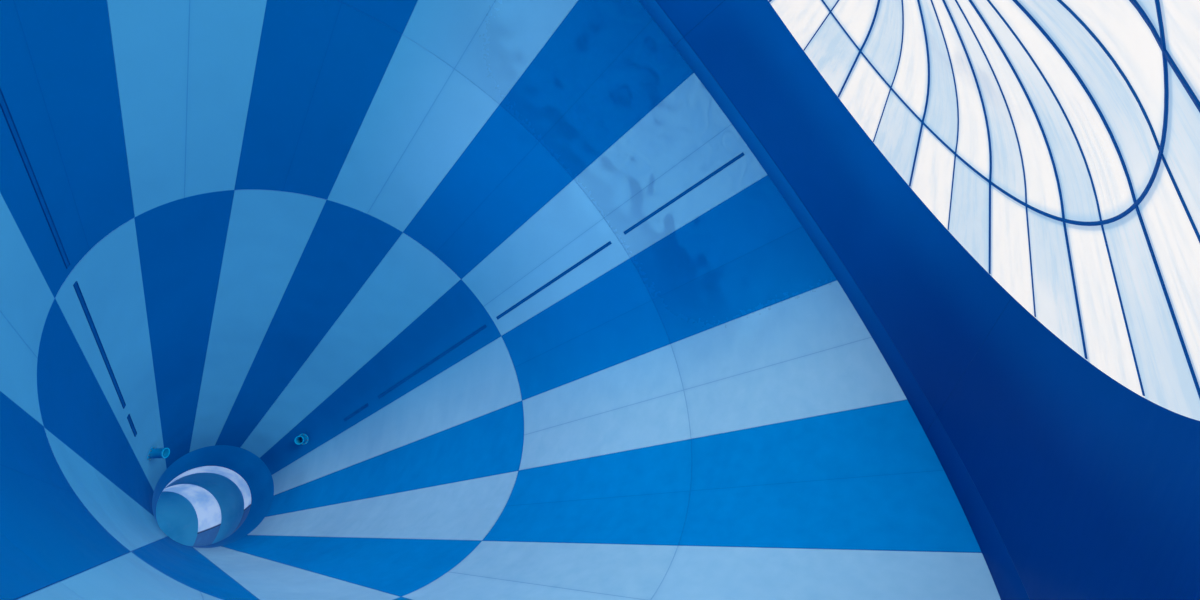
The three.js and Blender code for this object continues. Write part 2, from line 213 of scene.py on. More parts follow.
AXIS = (middle_of("mouth_hoop") - middle_of("waist_hoop")).normalized()
SIDE = Vector((0, 1, 0))
UPPER = AXIS.cross(SIDE)
WAIST_PLACE = middle_of("waist_hoop") + AXIS * HOOP_WIDTH / 2


def matrix_of(origin, first, second, third):
    """Matrix that carries local X, Y and Z to three directions at a place."""
    turned = Matrix((first, second, third)).transposed().to_4x4()
    return Matrix.Translation(origin) @ turned


FUNNEL = matrix_of(WAIST_PLACE, UPPER, -SIDE, AXIS)


def facing(turn):
    """Funnel matrix turned so that local X points at an angle from the top towards +Y."""
    return FUNNEL @ Matrix.Rotation(-turn, 4, "Z")


def outward(turn):
    return UPPER * math.cos(turn) + SIDE * math.sin(turn)


def cone_radius(station):
    return WAIST_RADIUS + CONE_SLOPE * station


def shoulder_radius(station):
    """Inner radius of the front cone between the mouth and the dome."""
    share = (station - MOUTH) / (DOME - MOUTH)
    return cone_radius(MOUTH) + (DOME_RADIUS - cone_radius(MOUTH)) * share


def dome_station(radius):
    if radius <= LOOP_RADIUS:
        return LOOP + (POLE - LOOP) * (1 - (radius / LOOP_RADIUS) ** CAP_POWER)
    return LOOP + (DOME - LOOP) * (radius - LOOP_RADIUS) / (DOME_RADIUS - LOOP_RADIUS)


RADIAL_SKIN = SKIN * math.hypot(1, CONE_SLOPE)
FLANGE_TOP = RADIAL_SKIN + FLANGE_DEPTH
RIB_TOP = FLANGE_TOP - RIB_DROP
TUBE_FLANGE = TUBE_OUTER + FLANGE_DEPTH


def hoop_outer(station):
    return cone_radius(station) + FLANGE_TOP + HOOP_DEPTH


def wall_point(station, turn, radius):
    return WAIST_PLACE + AXIS * station + outward(turn) * radius


def entry_matrix():
    """Place of the entry tube: Z along it, X level, as its solid has it."""
    run = DOME - MOUTH
    drop = cone_radius(MOUTH) - DOME_RADIUS
    normal = (AXIS * drop + outward(ENTRY_TURN) * run).normalized()
    around = outward(ENTRY_TURN + math.pi / 2)
    along = normal * math.cos(ENTRY_SKEW) + around * math.sin(ENTRY_SKEW)
    level = along.cross(Vector((0, 0, 1))).normalized()
    radius = (cone_radius(MOUTH) + DOME_RADIUS) / 2
    origin = wall_point((MOUTH + DOME) / 2, ENTRY_TURN, radius)
    return matrix_of(origin, level, along.cross(level), along)


def exit_matrix():
    """Place of the exit tube's start: Z along it and X towards the inside of its bend."""
    heading = -AXIS
    final = Vector((-math.cos(EXIT_YAW), -math.sin(EXIT_YAW), -EXIT_FALL)).normalized()
    inward = (final - heading * heading.dot(final)).normalized()
    return matrix_of(WAIST_PLACE + AXIS * RIM, inward, heading.cross(inward), heading), final


ENTRY = entry_matrix()
EXIT, EXIT_FINAL = exit_matrix()
EXIT_TURN = (-AXIS).angle(EXIT_FINAL)
EXIT_ENDS = [EXIT_STUB + share * EXIT_TURN * EXIT_BEND_RADIUS for share in EXIT_SHARES]


# Shader maths


def linear(*screen):
    """Linear colour from screen values of 0 to 255."""
    shares = [value / 255 for value in screen]
    return (*(s / 12.92 if s <= 0.04045 else ((s + 0.055) / 1.055) ** 2.4 for s in shares), 1)


def operators(operation):
    """An operator of Value and its reflected form."""
    return (
        lambda value, other: value.paint.math(operation, value, other),
        lambda value, other: value.paint.math(operation, other, value),
    )


class Value:
    """A socket's value, for writing shader maths as plain expressions."""

    __add__, __radd__ = operators("ADD")
    __sub__, __rsub__ = operators("SUBTRACT")
    __mul__, __rmul__ = operators("MULTIPLY")
    __truediv__, __rtruediv__ = operators("DIVIDE")

    def __init__(self, paint, socket):
        self.paint = paint
        self.socket = socket

    def __abs__(self):
        return self.paint.math("ABSOLUTE", self)

    def fraction(self):
        return self.paint.math("FRACT", self)

    def smooth(self, low, high):
        """0 below low and 1 above high, with a soft step between."""
        settings = {"interpolation_type": "SMOOTHSTEP"}
        sockets = {"Value": self, "From Min": low, "From Max": high}
        return self.paint.node("MapRange", settings, sockets)


class Paint:
    """A material in the making, with its nodes and its shader."""

    def __init__(self, name):
        self.material = bpy.data.materials.new(name)
        self.material.use_nodes = True
        self.tree = self.material.node_tree
        self.shader = self.tree.nodes["Principled BSDF"]

    def feed(self, node, sockets):
        for name, value in sockets.items():
            if isinstance(value, Value):
                self.tree.links.new(value.socket, node.inputs[name])
            else:
                node.inputs[name].default_value = value

    def node(self, kind, settings=None, sockets=None, output=0):
        made = self.tree.nodes.new("ShaderNode" + kind)
        for name, setting in (settings or {}).items():
            setattr(made, name, setting)
        self.feed(made, sockets or {})
        return Value(self, made.outputs[output])

    def math(self, operation, first, second=0.0):
        return self.node("Math", {"operation": operation}, {0: first, 1: second})

    def vector(self, operation, sockets, output="Vector"):
        return self.node("VectorMath", {"operation": operation}, sockets, output)

    def place(self):
        return self.node("TexCoord", output="Object")

    def noise(self, scale, detail, roughness=0.5, where=None):
        sockets = {"Scale": scale, "Detail": detail, "Roughness": roughness}
        return self.node("TexNoise", None, {"Vector": where or self.place(), **sockets})

    def streaks(self, sizes, scale, detail, roughness=0.5):
        """Noise drawn out by a size along each of X, Y and Z."""
        where = self.vector("DIVIDE", {0: self.place(), 1: sizes})
        return self.noise(scale, detail, roughness, where)

    def mix(self, share, *colours):
        """Two colours mixed, each of them a socket or screen values of 0 to 255."""
        first, second = [linear(*c) if isinstance(c, tuple) else c for c in colours]
        return self.node("Mix", {"data_type": "RGBA"}, {0: share, 6: first, 7: second}, 2)

    def clouds(self, scale, detail, first, second, low=0.3):
        """Two colours mixed in soft clouds, and the clouds themselves."""
        cloud = self.noise(scale, detail)
        return self.mix(cloud.smooth(low, 0.7), first, second), cloud

    def scaled(self, colour, tone):
        return self.vector("SCALE", {0: colour, "Scale": tone})

    def set(self, **values):
        """Sets the shader's sockets, by names with _ in place of spaces."""
        self.feed(self.shader, {name.replace("_", " "): values[name] for name in values})

    def done(self, colour, rough, *relief, **others):
        """Finished material; relief is the height, strength and distance of a bump."""
        self.set(Base_Color=colour, Roughness=rough, **others)
        if relief:
            sockets = dict(zip(("Height", "Strength", "Distance"), relief))
            self.set(Normal=self.node("Bump", None, sockets))
        return self.material

    def along(self, origin, direction):
        """Distance of the point being shaded from an origin, along a direction."""
        offset = self.vector("SUBTRACT", {0: self.place(), 1: origin})
        return self.vector("DOT_PRODUCT", {0: offset, 1: direction}, "Value")

    def funnel(self):
        """Station, radius, and turn from the top in stripes, of the point being shaded."""
        station, upper, side = [self.along(WAIST_PLACE, way) for way in (AXIS, UPPER, SIDE)]
        radius = self.math("SQRT", upper * upper + side * side)
        return station, radius, self.math("ARCTAN2", side, upper) / STRIPE

    def other_half(self, turn):
        """1 on every second half of a stripe and 0 between."""
        return (self.math("FLOOR", turn * 2) * 0.5).fraction() * 2

    def split_line(self, colour):
        """Colour with the dark joint between the halves of the exit tube's split sections."""
        height = self.along(EXIT.translation, EXIT.col[1].xyz)
        return self.mix(line(height, 0.022, 0.02) * 0.8, colour, (10, 50, 100))


def line(distance, half, soft):
    """1 within half of a line and 0 past half plus soft."""
    return 1 - abs(distance).smooth(half, half + soft)


def across(turn, radius):
    """Distance round the wall from the middle of the stripe that the turn lies in."""
    return (turn.fraction() - 0.5) * radius * STRIPE


# Finishes


def stripe_inside(name, dry, wet, painted_sheen, seam_colour, seam_share):
    """Gelcoat on a stripe's inner face: wet film and painted light low down, painted sheen, seams.
    """
    paint = Paint(name)
    station, radius, turn = paint.funnel()
    # Paler towards the low side: partly a wet film, partly painted light from the dome falling
    # there
    wet_and_lit = paint.math("COSINE", turn * STRIPE - WET_AND_LIT_TURN).smooth(-0.15, 1.0)
    side_light = paint.math("COSINE", turn * STRIPE - POLISH_AND_SHEEN_TURN).smooth(0.45, 0.95)
    cloud, mottle = paint.noise(0.28, 3), paint.noise(7.0, 2)
    runs = paint.streaks((0.5, 0.5, 4.0), 1.6, 3)
    ahead_of_middle = station.smooth(MIDDLE, MIDDLE + 0.01)
    number = paint.math("FLOOR", turn * 2) + ahead_of_middle * PANEL_SHIFT
    shade = paint.node("TexWhiteNoise", {"noise_dimensions": "1D"}, {"W": number})
    # The wet colour also stands for the painted light on the low side
    colour = paint.mix(wet_and_lit * (0.72 + 0.4 * runs), dry, wet)
    # Painted sheen: a paler, bluer colour on the side where the light and its reflections fall
    colour = paint.mix(side_light * station.smooth(-2.0, 5.0), colour, painted_sheen)
    colour = paint.scaled(colour, 0.90 + 0.12 * cloud + 0.03 * mottle + 0.035 * shade)
    to_seam, to_edge = across(turn, radius), across(turn + 0.5, radius)
    to_ring = station - MIDDLE
    has_seam = station.smooth(0.0, 0.01)
    middle_seam = line(to_seam, 0.006, 0.01) * has_seam
    seams = paint.math("MAXIMUM", middle_seam, line(to_ring, 0.006, 0.01))
    halo = line(to_seam, 0.02, 0.10) * has_seam + line(to_ring, 0.02, 0.12)
    colour = paint.mix((halo * 0.12 + seams) * seam_share, colour, seam_colour)
    edges = paint.math("MAXIMUM", line(to_edge, 0.006, 0.008), line(station, 0.006, 0.008))
    colour = paint.mix(edges * 0.8, colour, (0, 84, 158))
    waves, ripple = paint.noise(0.5, 1), paint.noise(1.6, 0)
    polish = (1 - edges) * side_light * station.smooth(3.0, 6.5)
    relief = waves + ripple * 0.3 - seams * 0.01
    paint.set(Metallic=0.37 * polish, Specular_Tint=(0.4, 0.8, 1.0, 1), IOR=1.03)
    return paint.done(colour, 0.44 + 0.12 * mottle - 0.42 * polish, relief, 1.0, 0.14)


def stripe_outside(name, pale, deep):
    """Weathered outer face: rolled flow coat with dust that water has drawn down."""
    paint = Paint(name)
    colour, cloud = paint.clouds(0.5, 4, deep, pale)
    fibre = paint.noise(28.0, 3, 0.7)
    dust = paint.streaks((0.6, 0.6, 5.0), 1.0, 4, 0.55).smooth(0.45, 0.8) * 0.12
    colour = paint.mix(dust, colour, (176, 190, 198))
    rough = 0.46 + fibre * 0.2 + dust * 0.5
    return paint.done(colour, rough, fibre + cloud * 2.0, 0.35, 0.004, IOR=1.3)


def shoulder_inside():
    """Plain dark blue gelcoat of the front cone, lighter at its band; painted light next to the
    dome, painted shade low down.
    """
    paint = Paint("shoulder_gelcoat")
    station, _, turn = paint.funnel()
    # 1 on the upper side and 0 on the lower side, where painted shade darkens the gelcoat
    lit_upper_share = paint.math("COSINE", turn * STRIPE).smooth(-0.75, 0.1)
    near_band = 1 - station.smooth(BAND - 0.1, BAND + 0.6)
    on_band = 1 - station.smooth(BAND - 0.006, BAND + 0.006)
    # Painted light: the gelcoat turns lighter towards the dome, more on the upper side
    dome_light_spill = station.smooth(11.0, 12.2) * (0.35 + 0.25 * lit_upper_share)
    colour, _ = paint.clouds(0.16, 2, (0, 72, 141), (0, 82, 153))
    colour = paint.mix(near_band * 0.25, colour, (0, 88, 158))
    colour = paint.mix(on_band * 0.35, colour, (6, 98, 164))
    colour = paint.mix(line(station - BAND, 0.010, 0.014) * 0.55, colour, (0, 52, 118))
    # Painted shade: a darker blue on the lower side
    colour = paint.mix(lit_upper_share, (0, 49, 113), colour)
    # Painted light next to the dome
    colour = paint.mix(dome_light_spill, colour, (0, 98, 170))
    colour = paint.scaled(colour, 1.27 + 0.2 * paint.noise(0.7, 3))
    streak = paint.streaks((0.3, 0.3, 1.6), 1.6, 3)
    relief = paint.noise(0.7, 2) + streak * 0.1
    paint.set(Specular_Tint=(0.2, 0.7, 1.0, 1), IOR=1.08)
    return paint.done(colour, 0.34 + streak * 0.2, relief, 0.3, 0.02)


def collar_inside():
    """Wet blue gelcoat round the exit hole."""
    paint = Paint("collar_gelcoat")
    colour, _ = paint.clouds(0.8, 3, (0, 104, 178), (0, 116, 190))
    streak = paint.noise(3.0, 3)
    return paint.done(colour, 0.35 + streak * 0.2, streak, 0.2, 0.006, IOR=1.06)


def dome_inside():
    """Translucent laminate lit by the sky behind it: white and pale blue gores, painted rib
    shadows.
    """
    paint = Paint("dome_backlit")
    _, radius, turn = paint.funnel()
    parity = paint.other_half(turn)
    within = 1 - radius.smooth(LOOP_RADIUS - 0.01, LOOP_RADIUS + 0.01)
    flipped = parity * (1 - within) + (1 - parity) * within
    lengthwise = paint.node("CombineXYZ", None, {"X": turn * 7.0, "Y": radius * 0.35})
    fibres, grain = paint.noise(1.6, 5, 0.7, lengthwise), paint.noise(9.0, 3)
    blue = flipped * (0.3 + paint.noise(0.32, 3).smooth(0.42, 0.62) * 0.5)
    smudge = paint.noise(0.9, 4).smooth(0.48, 0.68) * (1 - radius.smooth(2.2, 4.2))
    to_thick, to_thin = across(turn + 0.5, radius), across(turn, radius)
    to_loop = radius - LOOP_RADIUS
    glow = line(to_thick, 0.03, 0.13) * 0.5 + line(to_thin, 0.02, 0.08) * 0.3
    glow = glow + line(to_loop, 0.03, 0.12) * 0.45
    # Painted shadows of the outer ribs, seen through the laminate beside the thick seams and the
    # loop
    ribs = [line(to_thick - 0.04, 0.02, 0.03), line(to_loop - 0.045, 0.02, 0.03)]
    tint = blue + fibres.smooth(0.42, 0.74) * 0.5
    colour = paint.mix(tint, (250, 243, 236), (192, 212, 228))
    colour = paint.mix(smudge * 0.5, colour, (136, 160, 196))
    colour = paint.mix(glow, colour, (120, 180, 222))
    # Painted rib shadows in a darker blue
    colour = paint.mix(paint.math("MAXIMUM", *ribs) * 0.35, colour, (70, 130, 184))
    colour = paint.scaled(colour, 0.95 + 0.09 * grain)
    paint.set(Emission_Color=colour, Emission_Strength=0.9, IOR=1.2)
    relief, body = fibres + grain * 0.2, linear(150, 150, 140)
    return paint.done(body, 0.5 + grain * 0.25, relief, 0.25, 0.008)


def dome_outside():
    """Outer face of the dome: pale gelcoat with faint fibres and rain marks."""
    paint = Paint("dome_gelcoat")
    parity = paint.other_half(paint.funnel()[2])
    runs = paint.streaks((0.3, 0.3, 2.6), 1.2, 4, 0.6)
    fibre = paint.noise(24.0, 3, 0.7)
    colour = paint.mix(parity * 0.7, (232, 238, 244), (190, 214, 234))
    colour = paint.mix(runs.smooth(0.5, 0.75) * 0.3, colour, (168, 180, 186))
    return paint.done(colour, 0.3 + fibre * 0.2, fibre, 0.25, 0.003)


def clouded(name, scale, detail, first, second, rough, spread, **others):
    """Two colours in clouds that the roughness follows."""
    paint = Paint(name)
    cloud = paint.noise(scale, detail)
    return paint.done(paint.mix(cloud, first, second), rough + cloud * spread, **others)


def seam_navy():
    """Dark blue sealing strips over the dome's seams."""
    paint = Paint("seam_strip_navy")
    cloud = paint.noise(1.2, 3)
    colour = paint.mix(cloud, (16, 96, 164), (30, 122, 192))
    return paint.done(colour, 0.45 + cloud * 0.2, paint.noise(14.0, 2), 0.2, 0.002, IOR=1.1)


def pipe_plastic():
    """Blue pressure pipe with dust on it."""
    paint = Paint("pipe_blue")
    cloud = paint.noise(1.5, 3)
    dust = paint.streaks((0.4, 0.4, 1.5), 2.0, 4)
    colour = paint.mix(cloud, (28, 92, 158), (44, 112, 176))
    colour = paint.mix(dust.smooth(0.5, 0.8) * 0.4, colour, (150, 160, 164))
    return paint.done(colour, 0.35 + cloud * 0.2, dust, 0.1, 0.002)


def tube_gelcoat(name, pale, deep, wet, is_split=False):
    """Tube wall with its runs of water and, where it is split, its dark joint."""
    paint = Paint(name)
    colour, cloud = paint.clouds(0.6, 3, deep, pale)
    runs = paint.streaks((0.6, 0.6, 0.5), 2.4, 3)
    colour = paint.mix(runs.smooth(0.5, 0.75) * wet, colour, (90, 180, 226))
    if is_split:
        colour = paint.split_line(colour)
    return paint.done(colour, 0.3 + cloud * 0.25, runs, 0.25, 0.006, IOR=1.1)


def tube_backlit():
    """Upper half of a tube section, pale and lit through."""
    paint = Paint("tube_backlit")
    colour, cloud = paint.clouds(1.6, 3, (180, 206, 236), (128, 174, 220), 0.35)
    colour = paint.split_line(colour)
    paint.set(Emission_Color=colour, Emission_Strength=0.5, IOR=1.1)
    return paint.done(colour, 0.4 + cloud * 0.2, cloud, 0.2, 0.004)


def galvanised():
    """Hot-dip galvanised steel with its spangle and dull patches."""
    paint = Paint("galvanised_steel")
    cells = {"Vector": paint.place(), "Scale": 22.0}
    spangle = paint.node("TexVoronoi", {"feature": "F1"}, cells, "Color")
    grain = paint.node("SeparateColor", None, {"Color": spangle}, "Red")
    cloud = paint.noise(0.8, 4)
    runs = paint.streaks((0.1, 0.1, 1.6), 1.0, 3)
    colour = paint.mix(grain * 0.5 + cloud * 0.4, (142, 150, 156), (196, 203, 208))
    colour = paint.mix(runs.smooth(0.55, 0.8) * 0.4, colour, (120, 122, 118))
    paint.set(Metallic=0.55 + cloud * 0.3)
    return paint.done(colour, 0.36 + grain * 0.2, grain * 0.4 + cloud, 0.15, 0.002)


# Dry colour, wet colour that is also painted light, painted sheen, seam colour and seam share
LIGHT_INSIDE = stripe_inside(
    "light_stripe", (54, 133, 185), (122, 173, 211), (84, 154, 208), (10, 90, 160), 0.34
)
DARK_INSIDE = stripe_inside(
    "dark_stripe", (0, 78, 149), (0, 117, 192), (0, 94, 174), (0, 56, 126), 0.2
)
LIGHT_OUTSIDE = stripe_outside("light_flow_coat", (110, 172, 216), (82, 150, 204))
DARK_OUTSIDE = stripe_outside("dark_flow_coat", (6, 102, 176), (0, 82, 152))
NAVY_OUTSIDE = stripe_outside("navy_flow_coat", (4, 80, 148), (0, 62, 124))
PALE_OUTSIDE = stripe_outside("pale_flow_coat", (226, 232, 238), (202, 216, 230))
TEAL_OUTSIDE = stripe_outside("teal_flow_coat", (4, 108, 158), (0, 84, 134))
SHOULDER_INSIDE = shoulder_inside()
COLLAR_INSIDE = collar_inside()
DOME_INSIDE = dome_inside()
DOME_OUTSIDE = dome_outside()
SEAM_NAVY = seam_navy()
TEAL_TUBE = tube_gelcoat("teal_gelcoat", (66, 184, 230), (36, 156, 212), 0.3)
SPOUT_TEAL = tube_gelcoat("spout_gelcoat", (0, 146, 204), (0, 118, 180), 0.2)
NAVY_TUBE = tube_gelcoat("slate_gelcoat", (84, 148, 206), (16, 100, 164), 0.3, True)
TUBE_BACKLIT = tube_backlit()
STEEL = galvanised()
PIPE = pipe_plastic()
ZINC = clouded("zinc_bolt", 9.0, 2, (150, 154, 158), (206, 208, 206), 0.28, 0.25, Metallic=0.9)
# Dark navy of the slots, darkened to paint the shade in their openings and inside the spouts
SHADED_THROAT = clouded("shaded_slot_throat", 5.0, 2, (0, 62, 130), (0, 76, 148), 0.5, 0.2, IOR=1.06)


# Hand tools


def enter(mode):
    bpy.ops.object.mode_set(mode=mode)


def deselect():
    """Goes back to object mode with nothing selected."""
    if bpy.context.mode != "OBJECT":
        enter("OBJECT")
    bpy.ops.object.select_all(action="DESELECT")


def choose(piece):
    deselect()
    piece.select_set(True)
    bpy.context.view_layer.objects.active = piece


def edit_all():
    enter("EDIT")
    bpy.ops.mesh.select_all(action="SELECT")


def merge_all():
    bpy.ops.mesh.select_all(action="SELECT")
    bpy.ops.mesh.remove_doubles(threshold=1e-5)


def close_up():
    """Merges doubles, turns the faces outwards and gives the closed piece."""
    merge_all()
    bpy.ops.mesh.normals_make_consistent(inside=False)
    enter("OBJECT")
    return bpy.context.object


def apply_place():
    """Carries the active piece's place, turn and size into its mesh."""
    bpy.ops.object.transform_apply(location=True, rotation=True, scale=True)


def draw(corners, closed=True):
    """Chain of edges through [station, radius] corners in local XZ, left in edit mode."""
    deselect()
    bpy.ops.mesh.primitive_plane_add(size=1)
    enter("EDIT")
    bpy.ops.mesh.merge(type="CENTER")
    station, radius = corners[0]
    bpy.ops.transform.translate(value=(radius, 0, station))
    path = [*corners, corners[0]] if closed else corners
    for (from_station, from_radius), (to_station, to_radius) in zip(path, path[1:]):
        step = (to_radius - from_radius, 0, to_station - from_station)
        bpy.ops.mesh.extrude_vertices_move(TRANSFORM_OT_translate={"value": step})
    merge_all()


def sweep(steps, turn, centre=(0, 0, 0), axis=(0, 0, 1)):
    """Spins the outline in hand and closes it up."""
    bpy.ops.mesh.spin(steps=steps, angle=turn, center=centre, axis=axis)
    return close_up()


def extend(start, step):
    """Moves the outline in hand and extrudes it by a step."""
    bpy.ops.transform.translate(value=start)
    bpy.ops.mesh.extrude_region_move(TRANSFORM_OT_translate={"value": step})
    return close_up()


def lathe(corners, steps, closed=True):
    """Full ring or bowl turned about local Z; a bowl's chain starts and ends on the axis."""
    draw(corners, closed)
    return sweep(steps, 2 * math.pi)


def sector(corners, steps, turn):
    """Closed solid from a closed outline, turned from local X through an angle as facing does."""
    draw(corners)
    bpy.ops.mesh.edge_face_add()
    return sweep(steps, turn)


def plate(corners, thickness):
    """Flat plate with its outline in local XZ, centred on local Y 0."""
    draw(corners)
    bpy.ops.mesh.edge_face_add()
    return extend((0, -thickness / 2, 0), (0, thickness, 0))


def block(size, place):
    """Box of a size with its middle at a place."""
    deselect()
    bpy.ops.mesh.primitive_cube_add(size=1, location=place)
    bpy.context.object.scale = size
    apply_place()
    return bpy.context.object


def rod(radius, start, end, sides):
    """Solid cylinder between two points."""
    deselect()
    start, end = Vector(start), Vector(end)
    run = end - start
    turn = run.to_track_quat("Z", "Y").to_euler()
    middle = (start + end) / 2
    bpy.ops.mesh.primitive_cylinder_add(
        vertices=sides, radius=radius, depth=run.length, location=middle, rotation=turn
    )
    apply_place()
    return bpy.context.object


def put(piece, matrix):
    """Carries a piece's mesh by a matrix and leaves its object at the origin."""
    choose(piece)
    piece.matrix_world = matrix
    apply_place()
    return piece


def shift(piece, x, y, z):
    return put(piece, Matrix.Translation((x, y, z)))


def copy_of(piece):
    choose(piece)
    bpy.ops.object.duplicate()
    return bpy.context.object


def discard(*pieces):
    for piece in pieces:
        choose(piece)
        bpy.ops.object.delete()


def join(pieces):
    deselect()
    for piece in pieces:
        piece.select_set(True)
    bpy.context.view_layer.objects.active = pieces[0]
    if len(pieces) > 1:
        bpy.ops.object.join()
    return bpy.context.object


def apply(piece, kind, **settings):
    """Adds a modifier with its settings and applies it."""
    choose(piece)
    bpy.ops.object.modifier_add(type=kind)
    modifier = piece.modifiers[-1]
    for name, setting in settings.items():
        setattr(modifier, name, setting)
    bpy.ops.object.modifier_apply(modifier=modifier.name)
    return piece


def ease(piece, width=EDGE, segments=1):
    """Rounds the sharp edges a little and shades the rest smooth."""
    limit = {"limit_method": "ANGLE", "angle_limit": BEVEL_ANGLE}
    return smooth(apply(piece, "BEVEL", width=width, segments=segments, **limit))


def smooth(piece):
    choose(piece)
    bpy.ops.object.shade_smooth_by_angle(angle=SMOOTH_ANGLE)
    return piece


def cut(piece, cutter):
    """Takes one solid from another and discards the cutter."""
    apply(piece, "BOOLEAN", operation="DIFFERENCE", solver="EXACT", object=cutter)
    discard(cutter)
    return piece


def trim(piece, place, normal):
    """Cuts a piece flat at a place and keeps the side that the normal points to."""
    choose(piece)
    edit_all()
    bpy.ops.mesh.bisect(plane_co=place, plane_no=normal, use_fill=True, clear_inner=True)
    enter("OBJECT")
    return piece


def set_round(piece, count, share=0):
    """Copies of a piece set round local Z, joined; the first is a share of a step on."""
    copies = []
    for number in range(count):
        copies.append(put(copy_of(piece), beside((number + share) * 2 * math.pi / count)))
    discard(piece)
    return join(copies)


def beside(turn, aside=0):
    """Local turn about the axis, with a sideways shift before it."""
    return Matrix.Rotation(-turn, 4, "Z") @ Matrix.Translation((0, aside, 0))


def coat(piece, *materials):
    piece.data.materials.clear()
    for material in materials:
        piece.data.materials.append(material)
    return piece


def coat_sides(piece, inner, outer, is_inner):
    """Inner material on the faces that a test picks, outer on the rest."""
    coat(piece, inner, outer)
    for face in piece.data.polygons:
        face.material_index = 0 if is_inner(face) else 1
    return piece


def faces_axis(face):
    away = Vector((face.center.x, face.center.y, 0)).normalized()
    return face.normal.dot(away) < -0.6


def faces_small_end(face):
    return face.normal.z < -0.4


def settle(piece, name, slot, *replaced):
    """Names a finished piece and gives it its place in the frame."""
    piece.name = name
    piece.data.name = name
    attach(piece, "root")
    if replaced:
        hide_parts(*replaced)


def section(low, high, inner, outer):
    """Corners of a rectangle between two stations and two radii."""
    return [(low, inner), (high, inner), (high, outer), (low, outer)]


def strip_along(start, end, radius_at, low, high):
    """Corners of a strip between two heights over a wall that runs between two stations."""
    first, last = radius_at(start), radius_at(end)
    return [(start, first + low), (end, last + low), (end, last + high), (start, first + high)]


# Shell


def shell_outline(start, end, seams):
    """Outline of a tray-shaped stripe panel with its cross flanges, [station, radius]."""
    corners = [(start, cone_radius(start))]
    crossings = [(end - FLANGE_THICK, end, end)]
    for seam in seams:
        inner = cone_radius(seam)
        corners += [(seam - GROOVE / 2, inner), (seam, inner + GROOVE), (seam + GROOVE / 2, inner)]
        crossings.append((seam - FLANGE_THICK, seam + FLANGE_THICK, seam))
    corners.append((end, cone_radius(end)))
    crossings.append((start, start + FLANGE_THICK, start))
    for behind, ahead, seat in crossings:
        height = cone_radius(seat) + FLANGE_TOP
        if ahead < end:
            corners.append((ahead, cone_radius(ahead) + RADIAL_SKIN))
        corners += [(ahead, height), (behind, height)]
        if behind > start:
            corners.append((behind, cone_radius(behind) + RADIAL_SKIN))
    return corners


def shell_panel(start, end, seams):
    """Tray of a stripe with a rib at each side and one behind its middle seam."""
    tray = sector(shell_outline(start, end, seams), STRIPE_STEPS, STRIPE - JOINT_TURN)
    parts = [put(tray, beside(JOINT_TURN / 2))]
    inset = FLANGE_THICK / 2
    outline = strip_along(start + inset, end - inset, cone_radius, SKIN / 2, RIB_TOP)
    for turn, aside in [(0, -inset), (STRIPE, inset), *((STRIPE / 2, 0) for _ in seams)]:
        parts.append(put(plate(outline, FLANGE_THICK), beside(turn, aside)))
    return ease(join(parts))


def add_panels():
    coats = {
        "light_panel": (LIGHT_INSIDE, LIGHT_OUTSIDE),
        "dark_panel": (DARK_INSIDE, DARK_OUTSIDE),
    }
    zones = {
        "outer_panel": (shell_panel(WAIST + JOINT, MOUTH, [MIDDLE]), list(coats)),
        "inner_panel": (shell_panel(COLLAR, WAIST - JOINT, []), list(coats)[::-1]),
    }
    for zone, (panel, slots) in zones.items():
        for number in range(STRIPES):
            slot = slots[number % 2]
            piece = coat_sides(copy_of(panel), *coats[slot], faces_axis)
            node = f"{zone}_{number + 1:02d}"
            settle(put(piece, facing(number * STRIPE)), f"{node}_shell", slot, node)
        discard(panel)


def bolt(length):
    """Hexagon bolt along local Z with washers, head and nut, centred on the joint."""
    parts = []
    for sign in (-1, 1):
        face = sign * length / 2
        washer = (0, 0, face + sign * WASHER_THICK)
        outer = (0, 0, face + sign * (WASHER_THICK + NUT_THICK))
        parts.append(rod(WASHER_RADIUS, (0, 0, face), washer, 8))
        parts.append(rod(NUT_RADIUS, washer, outer, 6))
    return coat(join(parts), ZINC)


def bolt_ring(station, radius, count, length=GRIP, turn=0.0):
    """Bolts through two flanges that face each other along the axis, all round."""
    piece = shift(bolt(length), radius, 0, station)
    choose(piece)
    bpy.ops.transform.rotate(value=turn, orient_axis="Z", center_override=(0, 0, 0))
    edit_all()
    angle = 2 * math.pi * (count - 1) / count
    bpy.ops.mesh.spin(
        steps=count - 1, angle=angle, dupli=True, center=(0, 0, 0), axis=(0, 0, 1)
    )
    enter("OBJECT")
    return piece


def bolt_row(start, end):
    """Bolts through two side flanges, in a row along the cone."""
    run = Vector((CONE_SLOPE, 0, 1)) * (end - start - BOLT_PITCH)
    count = round(run.length / BOLT_PITCH) + 1
    first = start + BOLT_PITCH / 2
    place = Matrix.Translation((cone_radius(first) + RIB_TOP - BOLT_EDGE, 0, first))
    return apply(
        put(bolt(GRIP), place @ Matrix.Rotation(math.pi / 2, 4, "X")),
        "ARRAY",
        count=count,
        use_relative_offset=False,
        use_constant_offset=True,
        constant_offset_displace=run / (count - 1),
    )


def add_shell_bolts():
    rows = {
        "outer_seam_bolts": (WAIST, MIDDLE - ROW_CLEARANCE),
        "front_seam_bolts": (MIDDLE + ROW_CLEARANCE, MOUTH - HOOP_WIDTH),
        "inner_seam_bolts": (COLLAR, WAIST - HOOP_WIDTH),
    }
    for name, (start, end) in rows.items():
        bolts = set_round(bolt_row(start, end), STRIPES)
        settle(put(bolts, FUNNEL), name, "galvanised_steel")
    rings = {
        "waist_ring_bolts": (WAIST, 8 * STRIPES),
        "mouth_ring_bolts": (MOUTH, 12 * STRIPES),
        "collar_ring_bolts": (COLLAR, 4 * STRIPES),
    }
    for name, (station, count) in rings.items():
        radius = cone_radius(station) + FLANGE_TOP - BOLT_EDGE - RING_BOLT_DROP
        bolts = bolt_ring(station, radius, count, turn=math.pi / count)
        settle(put(bolts, FUNNEL), name, "galvanised_steel")


# Front


